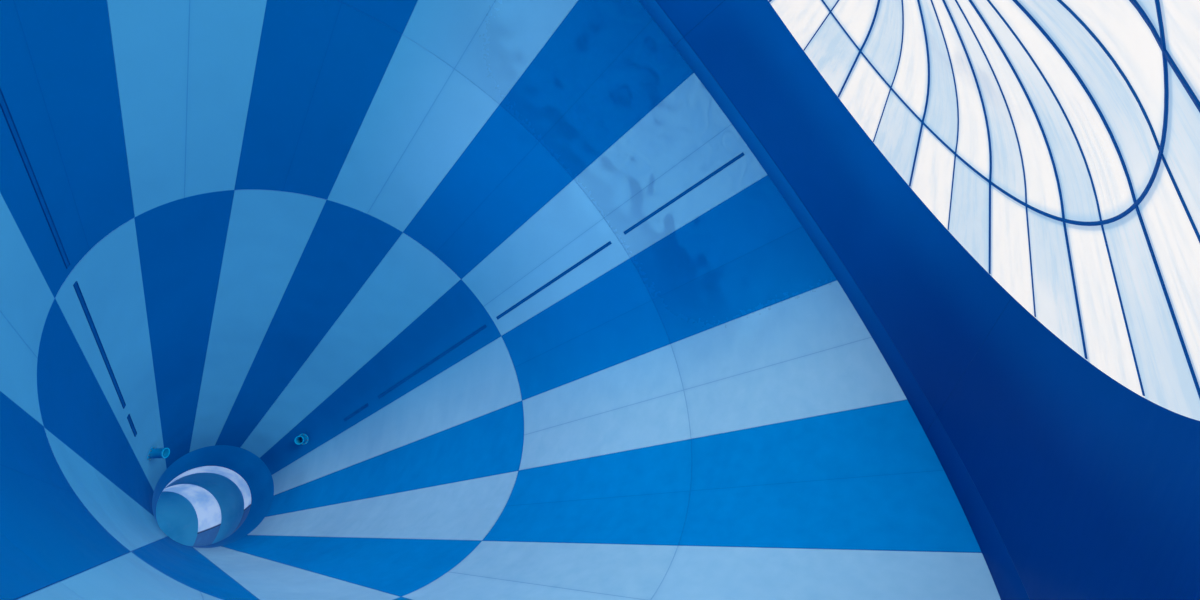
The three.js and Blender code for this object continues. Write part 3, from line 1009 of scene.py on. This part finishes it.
def front_quarter():
    """Tray and ribs of one quarter of the front cone, not yet joined."""
    skin = SKIN * math.hypot(1, (cone_radius(MOUTH) - DOME_RADIUS) / (DOME - MOUTH))
    start = MOUTH + JOINT
    end_top = DOME_RADIUS + skin + FLANGE_DEPTH
    start_top = cone_radius(MOUTH) + FLANGE_TOP
    behind = DOME - FLANGE_THICK
    ahead = start + FLANGE_THICK
    corners = [(start, shoulder_radius(start))]
    for station, depth in ((BAND - GROOVE, 0), (BAND, GROOVE), (BAND + GROOVE, 0)):
        corners.append((station, shoulder_radius(station) + depth))
    corners += [(DOME, DOME_RADIUS), (DOME, end_top), (behind, end_top)]
    corners += [(station, shoulder_radius(station) + skin) for station in (behind, ahead)]
    corners += [(ahead, start_top), (start, start_top)]
    tray = sector(corners, 4 * STRIPE_STEPS, math.pi / 2 - JOINT_TURN)
    parts = [put(tray, beside(JOINT_TURN / 2))]
    outline = strip_along(start, DOME, shoulder_radius, SKIN / 2, RIB_TOP)
    inset = FLANGE_THICK / 2
    for third, aside in enumerate((-inset, 0, 0, inset)):
        parts.append(put(plate(outline, FLANGE_THICK), beside(third / 3 * math.pi / 2, aside)))
    return parts


def add_front_cone():
    """Four quarters, with the entry tube's hole cut through the two that it meets."""
    parts = front_quarter()
    hole = rod(TUBE_OUTER + JOINT, (0, 0, -ENTRY_OVERRUN), (0, 0, ENTRY_LENGTH), TUBE_SIDES)
    put(hole, FUNNEL.inverted() @ ENTRY)
    for number, name in enumerate(("top", "right", "bottom", "left")):
        made = []
        for part in parts:
            piece = put(copy_of(part), beside((number - 0.5) * math.pi / 2))
            if name in ("bottom", "left"):
                piece = cut(piece, copy_of(hole))
            if piece.data.vertices:
                made.append(piece)
            else:
                discard(piece)
        quarter = coat_sides(ease(join(made)), SHOULDER_INSIDE, NAVY_OUTSIDE, faces_axis)
        node = f"front_cone_{name}"
        settle(put(quarter, FUNNEL), f"{node}_shell", "navy_panel", node)
    discard(*parts, hole)


def dome_profile(first, last, steps, lift=0):
    """[station, radius] along the inside of the dome, or lifted off it, between two radii."""
    radii = [first + (last - first) * step / steps for step in range(steps + 1)]
    return [(dome_station(radius) + lift, radius) for radius in radii]


def add_dome_skin():
    start = DOME + JOINT
    thick = SKIN * math.hypot(1, (LOOP - DOME) / (DOME_RADIUS - LOOP_RADIUS))
    loop_top = LOOP + thick + FLANGE_DEPTH
    corners = [
        (start, DOME_RADIUS),
        (LOOP, LOOP_RADIUS),
        (loop_top, LOOP_RADIUS),
        (loop_top, LOOP_RADIUS + FLANGE_THICK),
        (LOOP + thick, LOOP_RADIUS + FLANGE_THICK),
        (start + FLANGE_THICK, DOME_RADIUS + DOME_EDGE_STEP),
        (start + FLANGE_THICK, DOME_RADIUS + FLANGE_DEPTH),
        (start, DOME_RADIUS + FLANGE_DEPTH),
    ]
    ring = ease(lathe(corners, DOME_STEPS))
    edge = LOOP_RADIUS - JOINT
    lip = edge - FLANGE_THICK
    corners = dome_profile(0, edge, DOME_CAP_STEPS)
    corners += [(LOOP + FLANGE_DEPTH, edge), (LOOP + FLANGE_DEPTH, lip), (LOOP + 2 * SKIN, lip)]
    corners += dome_profile(0, edge - 0.05, DOME_CAP_STEPS, SKIN)[::-1]
    cap = smooth(lathe(corners, DOME_STEPS, closed=False))
    for node, piece in (("dome_ring", ring), ("dome_cap", cap)):
        coat_sides(piece, DOME_INSIDE, DOME_OUTSIDE, faces_small_end)
        settle(put(piece, FUNNEL), f"{node}_skin", "translucent_panel", node)


def dome_strip(first, last, width, below, above):
    """Strip along a meridian of the dome, from a depth under its inner face to one over it."""
    under = dome_profile(first, last, DOME_STRIP_STEPS, -below)
    over = dome_profile(first, last, DOME_STRIP_STEPS, above)
    return ease(plate([*under, *over[::-1]], width), STRIP_EDGE)


def add_dome_seams():
    """Sealing strips over the seams between gores, and the gores' outer ribs."""
    edge, inside = DOME_RADIUS - RIB_INSET, LOOP_RADIUS - SEAM_GAP
    seams = {"dome_thick_seams": (THICK_SEAM, 0), "dome_thin_seams": (THIN_SEAM, 0.5)}
    for name, (width, share) in seams.items():
        strips = []
        for first, last in ((edge, LOOP_RADIUS + SEAM_GAP), (inside, HUB_RADIUS)):
            strip = dome_strip(first, last, width, SEAM_PROUD, SEAM_SUNK)
            strips.append(set_round(strip, STRIPES, share))
        settle(put(coat(join(strips), SEAM_NAVY), FUNNEL), name, "navy_panel")
    ribs = []
    for first, last in ((edge, LOOP_RADIUS + RIB_INSET), (inside - RIB_INSET, HUB_RADIUS)):
        for share, height in ((0, FLANGE_DEPTH), (0.5, FLANGE_DEPTH * THIN_RIB_SHARE)):
            rib = dome_strip(first, last, GRIP, -SKIN / 2, SKIN + height)
            ribs.append(set_round(rib, STRIPES, share))
    ribs = put(coat(join(ribs), DOME_OUTSIDE), FUNNEL)
    settle(ribs, "dome_outer_flanges", "translucent_panel")


def add_dome_rings():
    """Strip over the loop seam, the bolted hub where the gores meet, and the edge's bolts."""
    slope = (LOOP - DOME) / (LOOP_RADIUS - DOME_RADIUS)
    half = LOOP_SEAM / 2
    ahead, behind = dome_station(LOOP_RADIUS - half), LOOP + slope * half
    corners = [
        (behind - SEAM_PROUD, LOOP_RADIUS + half),
        (LOOP - SEAM_PROUD * 1.3, LOOP_RADIUS),
        (ahead - SEAM_PROUD, LOOP_RADIUS - half),
        (ahead + SEAM_SUNK, LOOP_RADIUS - half),
        (LOOP + SEAM_SUNK, LOOP_RADIUS),
        (behind + SEAM_SUNK, LOOP_RADIUS + half),
    ]
    strip = coat(ease(lathe(corners, DOME_STEPS), STRIP_EDGE), SEAM_NAVY)
    settle(put(strip, FUNNEL), "dome_loop_seam", "navy_panel")
    station = POLE - SEAM_PROUD
    lid = [
        (station - 0.03, 0),
        (station - 0.028, HUB_RADIUS * 0.5),
        (station - 0.012, HUB_RADIUS),
        (station, HUB_RADIUS + 0.04),
        (POLE + SEAM_SUNK, HUB_RADIUS + 0.04),
        (POLE + SEAM_SUNK, 0),
    ]
    station, top = POLE + SKIN - SEAM_SUNK, POLE + SKIN + HUB_RIM
    cover = [
        (station, 0),
        (station, HUB_RADIUS + 0.06),
        (top, HUB_RADIUS + 0.06),
        (top, HUB_RADIUS * 0.72),
        (top + 0.05, HUB_RADIUS * 0.66),
        (top + 0.09, HUB_RADIUS * 0.5),
        (top + 0.105, HUB_RADIUS * 0.25),
        (top + 0.11, 0),
    ]
    parts = []
    for corners, finish in ((lid, SEAM_NAVY), (cover, NAVY_OUTSIDE)):
        disc = lathe(corners, DOME_STEPS // 2, closed=False)
        parts.append(coat(ease(disc, 0.004), finish))
    parts.append(bolt_ring(top - GRIP / 2, HUB_RADIUS * 0.87, HUB_BOLTS, turn=STRIPE / 2))
    settle(put(join(parts), FUNNEL), "dome_hub", "navy_panel")
    bolts = bolt_ring(DOME, DOME_RADIUS + FLANGE_DEPTH - DOME_BOLT_DROP, 9 * STRIPES)
    settle(put(bolts, FUNNEL), "dome_edge_bolts", "galvanised_steel")


# Throat, tubes and spouts


def add_collar():
    end, front, back = COLLAR - JOINT, COLLAR - JOINT - FLANGE_THICK, RIM + FLANGE_THICK
    end_radius = cone_radius(COLLAR)
    slope = (end_radius - RIM_RADIUS) / (COLLAR - RIM)

    def wall(station, height=0):
        return station, RIM_RADIUS + slope * (station - RIM) + height

    corners = [
        (RIM, RIM_RADIUS + 0.012),
        (RIM + 0.012, RIM_RADIUS + 0.002),
        wall(RIM + 0.04),
        wall(end),
        (end, end_radius + FLANGE_TOP),
        (front, end_radius + FLANGE_TOP),
        wall(front, SKIN),
        wall(back, SKIN),
        (back, TUBE_FLANGE),
        (RIM, TUBE_FLANGE),
    ]
    collar = ease(lathe(corners, TUBE_SIDES))
    coat_sides(collar, COLLAR_INSIDE, NAVY_OUTSIDE, faces_axis)
    settle(put(collar, FUNNEL), "throat_collar_shell", "navy_panel", "throat_collar")
    settle(put(tube_bolts(RIM), FUNNEL), "exit_rim_bolts", "galvanised_steel")


def tube_bolts(station):
    return bolt_ring(station, TUBE_OUTER + FLANGE_DEPTH / 2, TUBE_BOLTS)


def annulus(inner, outer):
    """Flat ring of faces in local XY, left in edit mode."""
    deselect()
    bpy.ops.mesh.primitive_circle_add(vertices=TUBE_SIDES, radius=outer, fill_type="NGON")
    enter("EDIT")
    bpy.ops.mesh.inset(thickness=(outer - inner) * math.cos(math.pi / TUBE_SIDES))
    bpy.ops.mesh.delete(type="FACE")
    bpy.ops.mesh.select_all(action="SELECT")


def rib_outline(sign):
    """Rectangle in local XY of the rib at one side of a tube, left in edit mode."""
    inner, outer = TUBE_OUTER - LAP, TUBE_FLANGE - RIB_DROP
    deselect()
    bpy.ops.mesh.primitive_plane_add(size=1, location=(sign * (inner + outer) / 2, 0, 0))
    bpy.context.object.scale = (outer - inner, 2 * FLANGE_THICK, 1)
    apply_place()
    edit_all()


def straight(start, end):
    """Draws the outline in hand out along local Z between two distances."""
    return extend((0, 0, start), (0, 0, end - start))


def run_on(start, end):
    """Draws the outline in hand along the exit tube's line between two distances."""
    if end <= EXIT_STUB:
        return straight(start, end)
    turn = (end - start) / EXIT_BEND_RADIUS
    steps = max(1, round(turn / EXIT_BEND_STEP))
    bpy.ops.transform.translate(value=(0, 0, EXIT_STUB))
    piece = sweep(steps, -turn, (EXIT_BEND_RADIUS, 0, EXIT_STUB), (0, 1, 0))
    return put(piece, bend(start - EXIT_STUB))


def bend(distance):
    """Turn about the bend's centre that carries its start a distance along it."""
    centre = Matrix.Translation((EXIT_BEND_RADIUS, 0, EXIT_STUB))
    turn = Matrix.Rotation(distance / EXIT_BEND_RADIUS, 4, "Y")
    return centre @ turn @ centre.inverted()


def exit_place(distance):
    """Matrix that sets a ring made at local Z 0 square on the exit tube's line."""
    if distance <= EXIT_STUB:
        return Matrix.Translation((0, 0, distance))
    return bend(distance - EXIT_STUB) @ Matrix.Translation((0, 0, EXIT_STUB))


def flange_ring(back, front):
    """Flange round a tube between two local stations."""
    return lathe(section(back, front, TUBE_OUTER - LAP, TUBE_FLANGE), TUBE_SIDES)


def in_entry_bore(face):
    return math.hypot(face.center.x, face.center.y) < TUBE_RADIUS + LAP


def in_exit_bore(face):
    """Whether a face lies in the bore, straight in the stub and bent after it."""
    place = face.center
    if place.z <= EXIT_STUB:
        return in_entry_bore(face)
    spread = math.hypot(EXIT_BEND_RADIUS - place.x, place.z - EXIT_STUB)
    return math.hypot(EXIT_BEND_RADIUS - spread, place.y) < TUBE_RADIUS + LAP


def exit_section(start, end, is_split):
    annulus(TUBE_RADIUS, TUBE_OUTER)
    parts = [run_on(start, end)]
    parts.append(put(flange_ring(0, FLANGE_THICK), exit_place(start)))
    parts.append(put(flange_ring(-FLANGE_THICK, 0), exit_place(end)))
    for sign in (-1, 1) if is_split else ():
        rib_outline(sign)
        parts.append(run_on(start + EDGE, end - EDGE))
    return parts


def add_exit_tube():
    """The exit tube's sections, two of them in halves cut flat on local Y 0."""
    whole = {"": (0, TEAL_TUBE, TEAL_OUTSIDE, "teal_panel")}
    halves = {
        "_upper": (1, TUBE_BACKLIT, PALE_OUTSIDE, "translucent_panel"),
        "_lower": (-1, NAVY_TUBE, NAVY_OUTSIDE, "navy_panel"),
    }
    starts = [JOINT, *(end + JOINT for end in EXIT_ENDS[:-1])]
    for number, (start, end) in enumerate(zip(starts, EXIT_ENDS), 1):
        is_split = number in SPLIT_SECTIONS
        parts = exit_section(start, end, is_split)
        for half, (sign, inner, outer, slot) in (halves if is_split else whole).items():
            pieces = [copy_of(part) for part in parts]
            if sign:
                for piece in pieces:
                    trim(piece, (0, sign * JOINT, 0), (0, sign, 0))
            piece = coat_sides(ease(join(pieces)), inner, outer, in_exit_bore)
            node = f"exit_tube_{number}{half}"
            settle(put(piece, EXIT), f"{node}_shell", slot, node)
        discard(*parts)
    rings = [put(tube_bolts(0), exit_place(distance)) for distance in EXIT_ENDS[:-1]]
    settle(put(join(rings), EXIT), "exit_flange_bolts", "galvanised_steel")


def add_entry_tube():
    """Entry tube, its mouth cut to the inside of the front cone, and its middle joint."""
    annulus(TUBE_RADIUS, TUBE_OUTER)
    wall = straight(-ENTRY_OVERRUN, ENTRY_LENGTH)
    corners = [
        (MOUTH - CUTTER_REACH, 0),
        (MOUTH - CUTTER_REACH, cone_radius(MOUTH)),
        (MOUTH, cone_radius(MOUTH)),
        (DOME, DOME_RADIUS),
        (LOOP, LOOP_RADIUS),
        (LOOP, 0),
    ]
    space = lathe(corners, STRIPES * STRIPE_STEPS, closed=False)
    parts = [cut(wall, put(space, ENTRY.inverted() @ FUNNEL))]
    for back, front in (
        (ENTRY_LENGTH - FLANGE_THICK, ENTRY_LENGTH),
        (ENTRY_JOINT - FLANGE_THICK, ENTRY_JOINT - JOINT),
        (ENTRY_JOINT + JOINT, ENTRY_JOINT + FLANGE_THICK),
    ):
        parts.append(flange_ring(back, front))
    gap = FLANGE_THICK + LAP
    for sign in (-1, 1):
        for start, end in ((ENTRY_RIB_START, ENTRY_JOINT), (ENTRY_JOINT + gap, ENTRY_LENGTH)):
            rib_outline(sign)
            parts.append(straight(start, end - gap))
    tube = coat_sides(ease(join(parts)), TEAL_TUBE, TEAL_OUTSIDE, in_entry_bore)
    settle(put(tube, ENTRY), "entry_tube_shell", "teal_panel", "entry_tube")
    settle(put(tube_bolts(ENTRY_JOINT), ENTRY), "entry_flange_bolts", "galvanised_steel")


def wall_place(station, turn):
    """Matrix with Z off the cone's inner face and X along the cone towards the mouth."""
    along = (AXIS + outward(turn) * CONE_SLOPE).normalized()
    inward = (AXIS * CONE_SLOPE - outward(turn)).normalized()
    origin = wall_point(station, turn, cone_radius(station))
    return matrix_of(origin, along, inward.cross(along), inward)


def add_spouts():
    """Short pipe ends that stick out of the wall above the small end."""
    level = Matrix.Rotation(math.atan(CONE_SLOPE), 4, "Y")
    corners = [
        (-0.1, SPOUT_BORE),
        (SPOUT_LENGTH - 0.008, SPOUT_BORE),
        (SPOUT_LENGTH, SPOUT_BORE + 0.01),
        (SPOUT_LENGTH, SPOUT_RADIUS - 0.004),
        (SPOUT_LENGTH - 0.012, SPOUT_RADIUS + 0.002),
        (SPOUT_LENGTH - 0.05, SPOUT_RADIUS + 0.002),
        (SPOUT_LENGTH - 0.056, SPOUT_RADIUS - 0.008),
        (-0.1, SPOUT_RADIUS - 0.008),
    ]
    pipe = trim(put(lathe(corners, SPOUT_SIDES), level), (0, 0, -0.008), (0, 0, 1))
    corners = [
        (-0.006, SPOUT_BORE),
        (0.014, SPOUT_BORE),
        (0.014, SPOUT_FOOT - 0.01),
        (0.008, SPOUT_FOOT),
        (-0.006, SPOUT_FOOT),
    ]
    foot = lathe(corners, SPOUT_SIDES)
    # Dark disc just inside the bore: painted shade of the pipe's inside
    bore_shade_disc = put(rod(SPOUT_BORE + 0.003, (0, 0, -0.02), (0, 0, 0.004), SPOUT_SIDES), level)
    bolts = bolt_ring(*SPOUT_BOLTS)
    body = coat(ease(join([pipe, foot]), STRIP_EDGE), SPOUT_TEAL)
    whole = join([body, coat(bore_shade_disc, SHADED_THROAT), bolts])
    for side, sign in SIDES.items():
        piece = put(copy_of(whole), wall_place(SPOUT_STATION, sign * SPOUT_STRIPES * STRIPE))
        settle(piece, f"spout_{side}_pipe", "teal_panel", f"spout_{side}")
    discard(whole)


def spray_slot(length):
    """Low rimmed slot along local X, sunk along its middle."""
    slot = block((length, SLOT_WIDTH, SLOT_PROUD + 0.008), (0, 0, SLOT_PROUD / 2 - 0.004))
    enter("EDIT")
    bpy.ops.mesh.select_all(action="DESELECT")
    enter("OBJECT")
    for face in slot.data.polygons:
        face.select = face.normal.z > 0.9
    enter("EDIT")
    bpy.ops.mesh.inset(thickness=SLOT_RIM)
    sunk = {"value": (0, 0, -SLOT_PROUD * 0.8)}
    bpy.ops.mesh.extrude_region_move(TRANSFORM_OT_translate=sunk)
    enter("OBJECT")
    # The whole slot takes the dark colour that paints the shade of its opening
    return coat(ease(slot, 0.004, 2), SHADED_THROAT)


def spray_box(length):
    """Pressure box behind a slot, on the outer skin, with two capped inlets."""
    box = block((length, BOX_WIDTH, BOX_HEIGHT), (0, 0, -SKIN - BOX_HEIGHT / 2))
    longer, wider, thick = BOX_LIP
    lip = block((length + longer, BOX_WIDTH + wider, thick), (0, 0, -SKIN - thick / 2))
    box = join([ease(box, 0.018, 3), ease(lip, STRIP_EDGE)])
    parts = [coat(box, NAVY_OUTSIDE)]
    corners = [(0, 0), (0, 0.055), (0.09, 0.055), (0.09, 0.095), (0.108, 0.095)]
    corners += [(0.112, 0.091), (0.126, 0.091), (0.126, 0)]
    for share in INLET_SHARES:
        inlet = put(lathe(corners, 32, closed=False), Matrix.Rotation(math.pi, 4, "X"))
        inlet = coat(ease(inlet), PIPE)
        parts.append(shift(inlet, share * length, 0, EDGE - SKIN - BOX_HEIGHT))
        bolts = bolt_ring(*INLET_BOLTS)
        parts.append(shift(bolts, share * length, 0, -SKIN - BOX_HEIGHT - 0.106))
    return join(parts)


def add_slots():
    for side, sign in SIDES.items():
        for number, (start, end) in enumerate(SLOT_RUNS, 1):
            place = wall_place((start + end) / 2, sign * SLOT_STRIPES * STRIPE)
            length = (end - start) * math.hypot(1, CONE_SLOPE)
            slot, box = put(spray_slot(length), place), put(spray_box(length - BOX_SHORTER), place)
            settle(slot, f"spray_slot_{side}_{number}", "navy_panel")
            settle(box, f"spray_box_{side}_{number}", "navy_panel")


# Steelwork


def add_hoops():
    """Ring beams behind the ring seams, with gussets on the ribs and splice plates."""
    for name, station in HOOPS.items():
        back, outside = station - HOOP_WIDTH, hoop_outer(station)
        inside = outside - HOOP_DEPTH + JOINT
        ring = lathe(section(back, station, inside, outside), STRIPES * STRIPE_STEPS)
        ease(ring, 0.02, 3)
        gusset_top = inside + HOOP_DEPTH * 0.7
        foot, seat = back - GUSSET_REACH, RIB_TOP + 0.0005
        corners = [
            (back, gusset_top),
            (back - 0.03, gusset_top),
            (foot, cone_radius(foot) + seat + 0.03),
            (foot, cone_radius(foot) + seat),
            (back, cone_radius(back) + seat),
        ]
        shoe = strip_along(foot - 0.02, back - LAP, cone_radius, seat, seat + SHOE_THICK)
        gusset = join([plate(corners, GUSSET_THICK), plate(shoe, SHOE_WIDTH)])
        gussets = set_round(ease(gusset), STRIPES)
        size = (HOOP_DEPTH + 0.03, SPLICE_THICK, HOOP_WIDTH + 0.03)
        place = ((inside + outside) / 2 + 0.012, 0, station - HOOP_WIDTH / 2 - 0.014)
        splices = set_round(ease(block(size, place), STRIP_EDGE), 4, 0.125)
        whole = put(coat(join([ring, gussets, splices]), STEEL), FUNNEL)
        settle(whole, f"{name}_hoop_beam", "galvanised_steel", f"{name}_hoop")


def anchor_bolts():
    """Eight anchor bolts with washers and double nuts, set round a foot plate."""
    washer, nut = (0.036, 0, 0.006, 16), (0.03, 0.006, 0.03, 6)
    lock_nut, stud = (0.029, 0.031, 0.047, 6), (0.015, 0, 0.085, 12)
    parts = []
    reach = BASE_SIZE / 2 - ANCHOR_INSET
    for x, y in ((-1, -1), (0, -1), (1, -1), (1, 0), (1, 1), (0, 1), (-1, 1), (-1, 0)):
        place = Vector((x * reach, y * reach, BASE_THICK))
        for radius, low, high, sides in (washer, nut, lock_nut, stud):
            ends = [place + Vector((0, 0, height)) for height in (low, high)]
            parts.append(rod(radius, *ends, sides))
    return coat(join(parts), ZINC)


def foot_at(place):
    """Foot plate under a column, with its stiffeners and its anchor bolts."""
    slab = block((BASE_SIZE, BASE_SIZE, BASE_THICK), (0, 0, BASE_THICK / 2))
    inner, outer = LEG_RADIUS - 0.01, BASE_SIZE / 2 - 0.02
    low, high = BASE_THICK - 0.001, BASE_THICK + STIFFENER_RISE
    corners = [(low, inner), (low, outer), (BASE_THICK + 0.03, outer)]
    corners += [(high, inner + 0.03), (high, inner)]
    stiffeners = set_round(plate(corners, STIFFENER_THICK), 8, 0.5)
    steel = coat(ease(join([slab, stiffeners]), STRIP_EDGE), STEEL)
    return shift(join([steel, anchor_bolts()]), place.x, place.y, 0)


def column(place, top, keep_out):
    """Column from inside its foot plate up to a height, cut to what it carries."""
    low, high = (place.x, place.y, BASE_THICK - 0.002), (place.x, place.y, top)
    return smooth(cut(smooth(rod(LEG_RADIUS, low, high, LEG_SIDES)), keep_out))


def leg_splice(place):
    """Two bolted flanges half way up a tall column."""
    gap, thick, depth = LEG_FLANGE
    rings = []
    for low, high in ((-thick, -gap), (gap, thick)):
        rings.append(lathe(section(low, high, LEG_RADIUS - LAP, LEG_RADIUS + depth), LEG_SIDES))
    rings = coat(ease(join(rings)), STEEL)
    bolts = bolt_ring(*LEG_BOLTS)
    return shift(join([rings, bolts]), place.x, place.y, place.z / 2)


def add_hoop_leg(name, station, turn):
    """Column cut to the ring beam that it carries, with its saddle, cheeks and foot."""
    middle, outer = station - HOOP_WIDTH / 2, hoop_outer(station)
    seat = wall_point(middle, turn, outer)
    outer += JOINT
    back, front = middle - CUTTER_REACH, middle + CUTTER_REACH
    drum = [(back, 0), (back, outer), (front, outer), (front, 0)]
    keep_out = put(lathe(drum, STRIPES * STRIPE_STEPS, closed=False), FUNNEL)
    steel = [column(seat, seat.z + LEG_OVERRUN, keep_out)]
    reach, half = HOOP_WIDTH / 2 + SADDLE_MARGIN, SADDLE_HALF / outer
    saddle = section(middle - reach, middle + reach, outer, outer + SADDLE_THICK)
    steel.append(put(ease(sector(saddle, 12, 2 * half), 0.004), facing(turn - half)))
    for sign in (-1, 1):
        edge = middle + sign * (HOOP_WIDTH / 2 + 0.012)
        low, high = edge - CHEEK_THICK / 2, edge + CHEEK_THICK / 2
        cheek = section(low, high, outer - CHEEK_RISE, outer + SADDLE_THICK / 2)
        cheek = ease(sector(cheek, 8, half), STRIP_EDGE)
        steel.append(put(cheek, facing(turn - half / 2)))
    parts = [coat(join(steel), STEEL), foot_at(seat)]
    if seat.z > TALL_LEG:
        parts.append(leg_splice(seat))
    settle(join(parts), f"{name}_column", "galvanised_steel", name)
    return seat


def add_tube_leg(name, place, keep_out):
    """Column cut to the outside of the tube that it carries, with its foot."""
    steel = coat(column(place, place.z, keep_out), STEEL)
    settle(join([steel, foot_at(place)]), f"{name}_column", "galvanised_steel", name)


def add_legs():
    """All the columns; gives the places under the ring beams, for the bracing."""
    seats = {}
    for where, (station, degrees) in LEG_TURNS.items():
        for side, sign in SIDES.items():
            turn = sign * math.radians(degrees)
            seats[f"{where}_{side}"] = add_hoop_leg(f"{where}_leg_{side}", station, turn)
    tube = rod(TUBE_OUTER + JOINT, (0, 0, 0), (0, 0, ENTRY_LENGTH), TUBE_SIDES)
    add_tube_leg("entry_leg", ENTRY @ Vector((0, 0, ENTRY_LEG)), put(tube, ENTRY))
    start, end = EXIT_ENDS[-2:]
    deselect()
    bpy.ops.mesh.primitive_circle_add(
        vertices=TUBE_SIDES, radius=TUBE_OUTER + JOINT, fill_type="NGON"
    )
    edit_all()
    tube = put(run_on(start, end), EXIT)
    place = EXIT @ exit_place((start + end) / 2).translation
    add_tube_leg("exit_leg", place, tube)
    return seats


def brace_rod(start, end):
    """Tension rod with a lug at each end and a turnbuckle."""
    run = end - start
    way = run.normalized()
    inset = way * (LEG_RADIUS + 0.16)
    parts = [rod(BRACE_RADIUS, start + inset, end - inset, 16)]
    share, radius, half = TURNBUCKLE
    middle = start + run * share
    parts.append(rod(radius, middle - way * half, middle + way * half, 6))
    radius, sunk, length = LUG
    for place, inward in ((start, way), (end, -way)):
        near, far = inward * (LEG_RADIUS - sunk), inward * (LEG_RADIUS + length)
        parts.append(rod(radius, place + near, place + far, 4))
    return parts


def add_braces(seats):
    """Crossed tension rods between pairs of columns."""
    pairs = (
        ("mouth_low_right", "mouth_low_left"),
        ("mouth_low_right", "mouth_side_right"),
        ("mouth_low_left", "mouth_side_left"),
        ("middle_side_right", "waist_side_right"),
        ("middle_side_left", "waist_side_left"),
        ("waist_side_right", "waist_side_left"),
    )
    for names in pairs:
        first, second = [seats[name] for name in names]
        top = BRACE_TOP * min(first.z, second.z)
        aside = (second - first).cross(Vector((0, 0, 1))).normalized() * BRACE_ASIDE
        rods = []
        for start, end, clear in ((first, second, aside), (second, first, -aside)):
            low, high = Vector((*start.xy, BRACE_FOOT)), Vector((*end.xy, top))
            rods += brace_rod(low + clear, high + clear)
        brace = coat(ease(join(rods), STRIP_EDGE), STEEL)
        settle(brace, "brace_{}_to_{}".format(*names), "galvanised_steel")


# Camera, light and floor


def place_camera():
    deselect()
    rotation = (math.pi / 2 + CAMERA_RISE, 0, CAMERA_TURN)
    bpy.ops.object.camera_add(location=CAMERA_PLACE, rotation=rotation)
    camera = bpy.context.object
    camera.name = "photo_camera"
    camera.data.lens = CAMERA_LENS
    camera.data.clip_start = CAMERA_NEAR
    camera.data.clip_end = FLOOR_SIZE
    bpy.context.scene.camera = camera


def add_lamp(name, kind, station, power):
    """Warm lamp on the axis that looks at the small end and isn't seen or reflected."""
    deselect()
    turn = (-AXIS).to_track_quat("-Z", "Y").to_euler()
    bpy.ops.object.light_add(type=kind, location=WAIST_PLACE + AXIS * station, rotation=turn)
    lamp = bpy.context.object
    lamp.name = name
    lamp.data.energy = power
    lamp.data.color = (1.0, 0.92, 0.76)
    lamp.visible_camera = False
    lamp.visible_glossy = False
    return lamp.data


def light_inside():
    """Daylight that comes in through the dome, and its scatter along the cone."""
    daylight = add_lamp("dome_daylight", "AREA", DOME + 0.2, 1150)
    daylight.shape = "DISK"
    daylight.size = 8.0
    for station, power in ((5.5, 420), (-1.5, 300), (-6.5, 100)):
        add_lamp(f"scatter_{station:+.0f}", "POINT", station, power).shadow_soft_size = 1.0


def light_outside():
    deselect()
    turn = (math.radians(48), 0, math.radians(-40))
    bpy.ops.object.light_add(type="SUN", location=(0, 0, 40), rotation=turn)
    sun = bpy.context.object
    sun.name = "studio_key"
    sun.data.energy = 1.9
    sun.data.angle = math.radians(35)
    world = bpy.data.worlds.new("studio")
    world.use_nodes = True
    bpy.context.scene.world = world
    background = world.node_tree.nodes["Background"]
    background.inputs["Color"].default_value = (0.80, 0.83, 0.86, 1)
    background.inputs["Strength"].default_value = 0.85


def lay_floor():
    deselect()
    bpy.ops.mesh.primitive_plane_add(size=FLOOR_SIZE, location=(0, 0, 0))
    floor = bpy.context.object
    floor.name = "studio_floor"
    paint = Paint("studio_floor")
    colour = paint.mix(paint.noise(0.1, 2), (200, 202, 204), (205, 207, 208))
    coat(floor, paint.done(colour, 0.8, IOR=1.2))


place_camera()
add_panels()
add_shell_bolts()
add_front_cone()
add_dome_skin()
add_dome_seams()
add_dome_rings()
add_collar()
add_exit_tube()
add_entry_tube()
add_spouts()
add_slots()
add_hoops()
add_braces(add_legs())
light_inside()
light_outside()
lay_floor()
bpy.context.scene.view_settings.view_transform = "Standard"
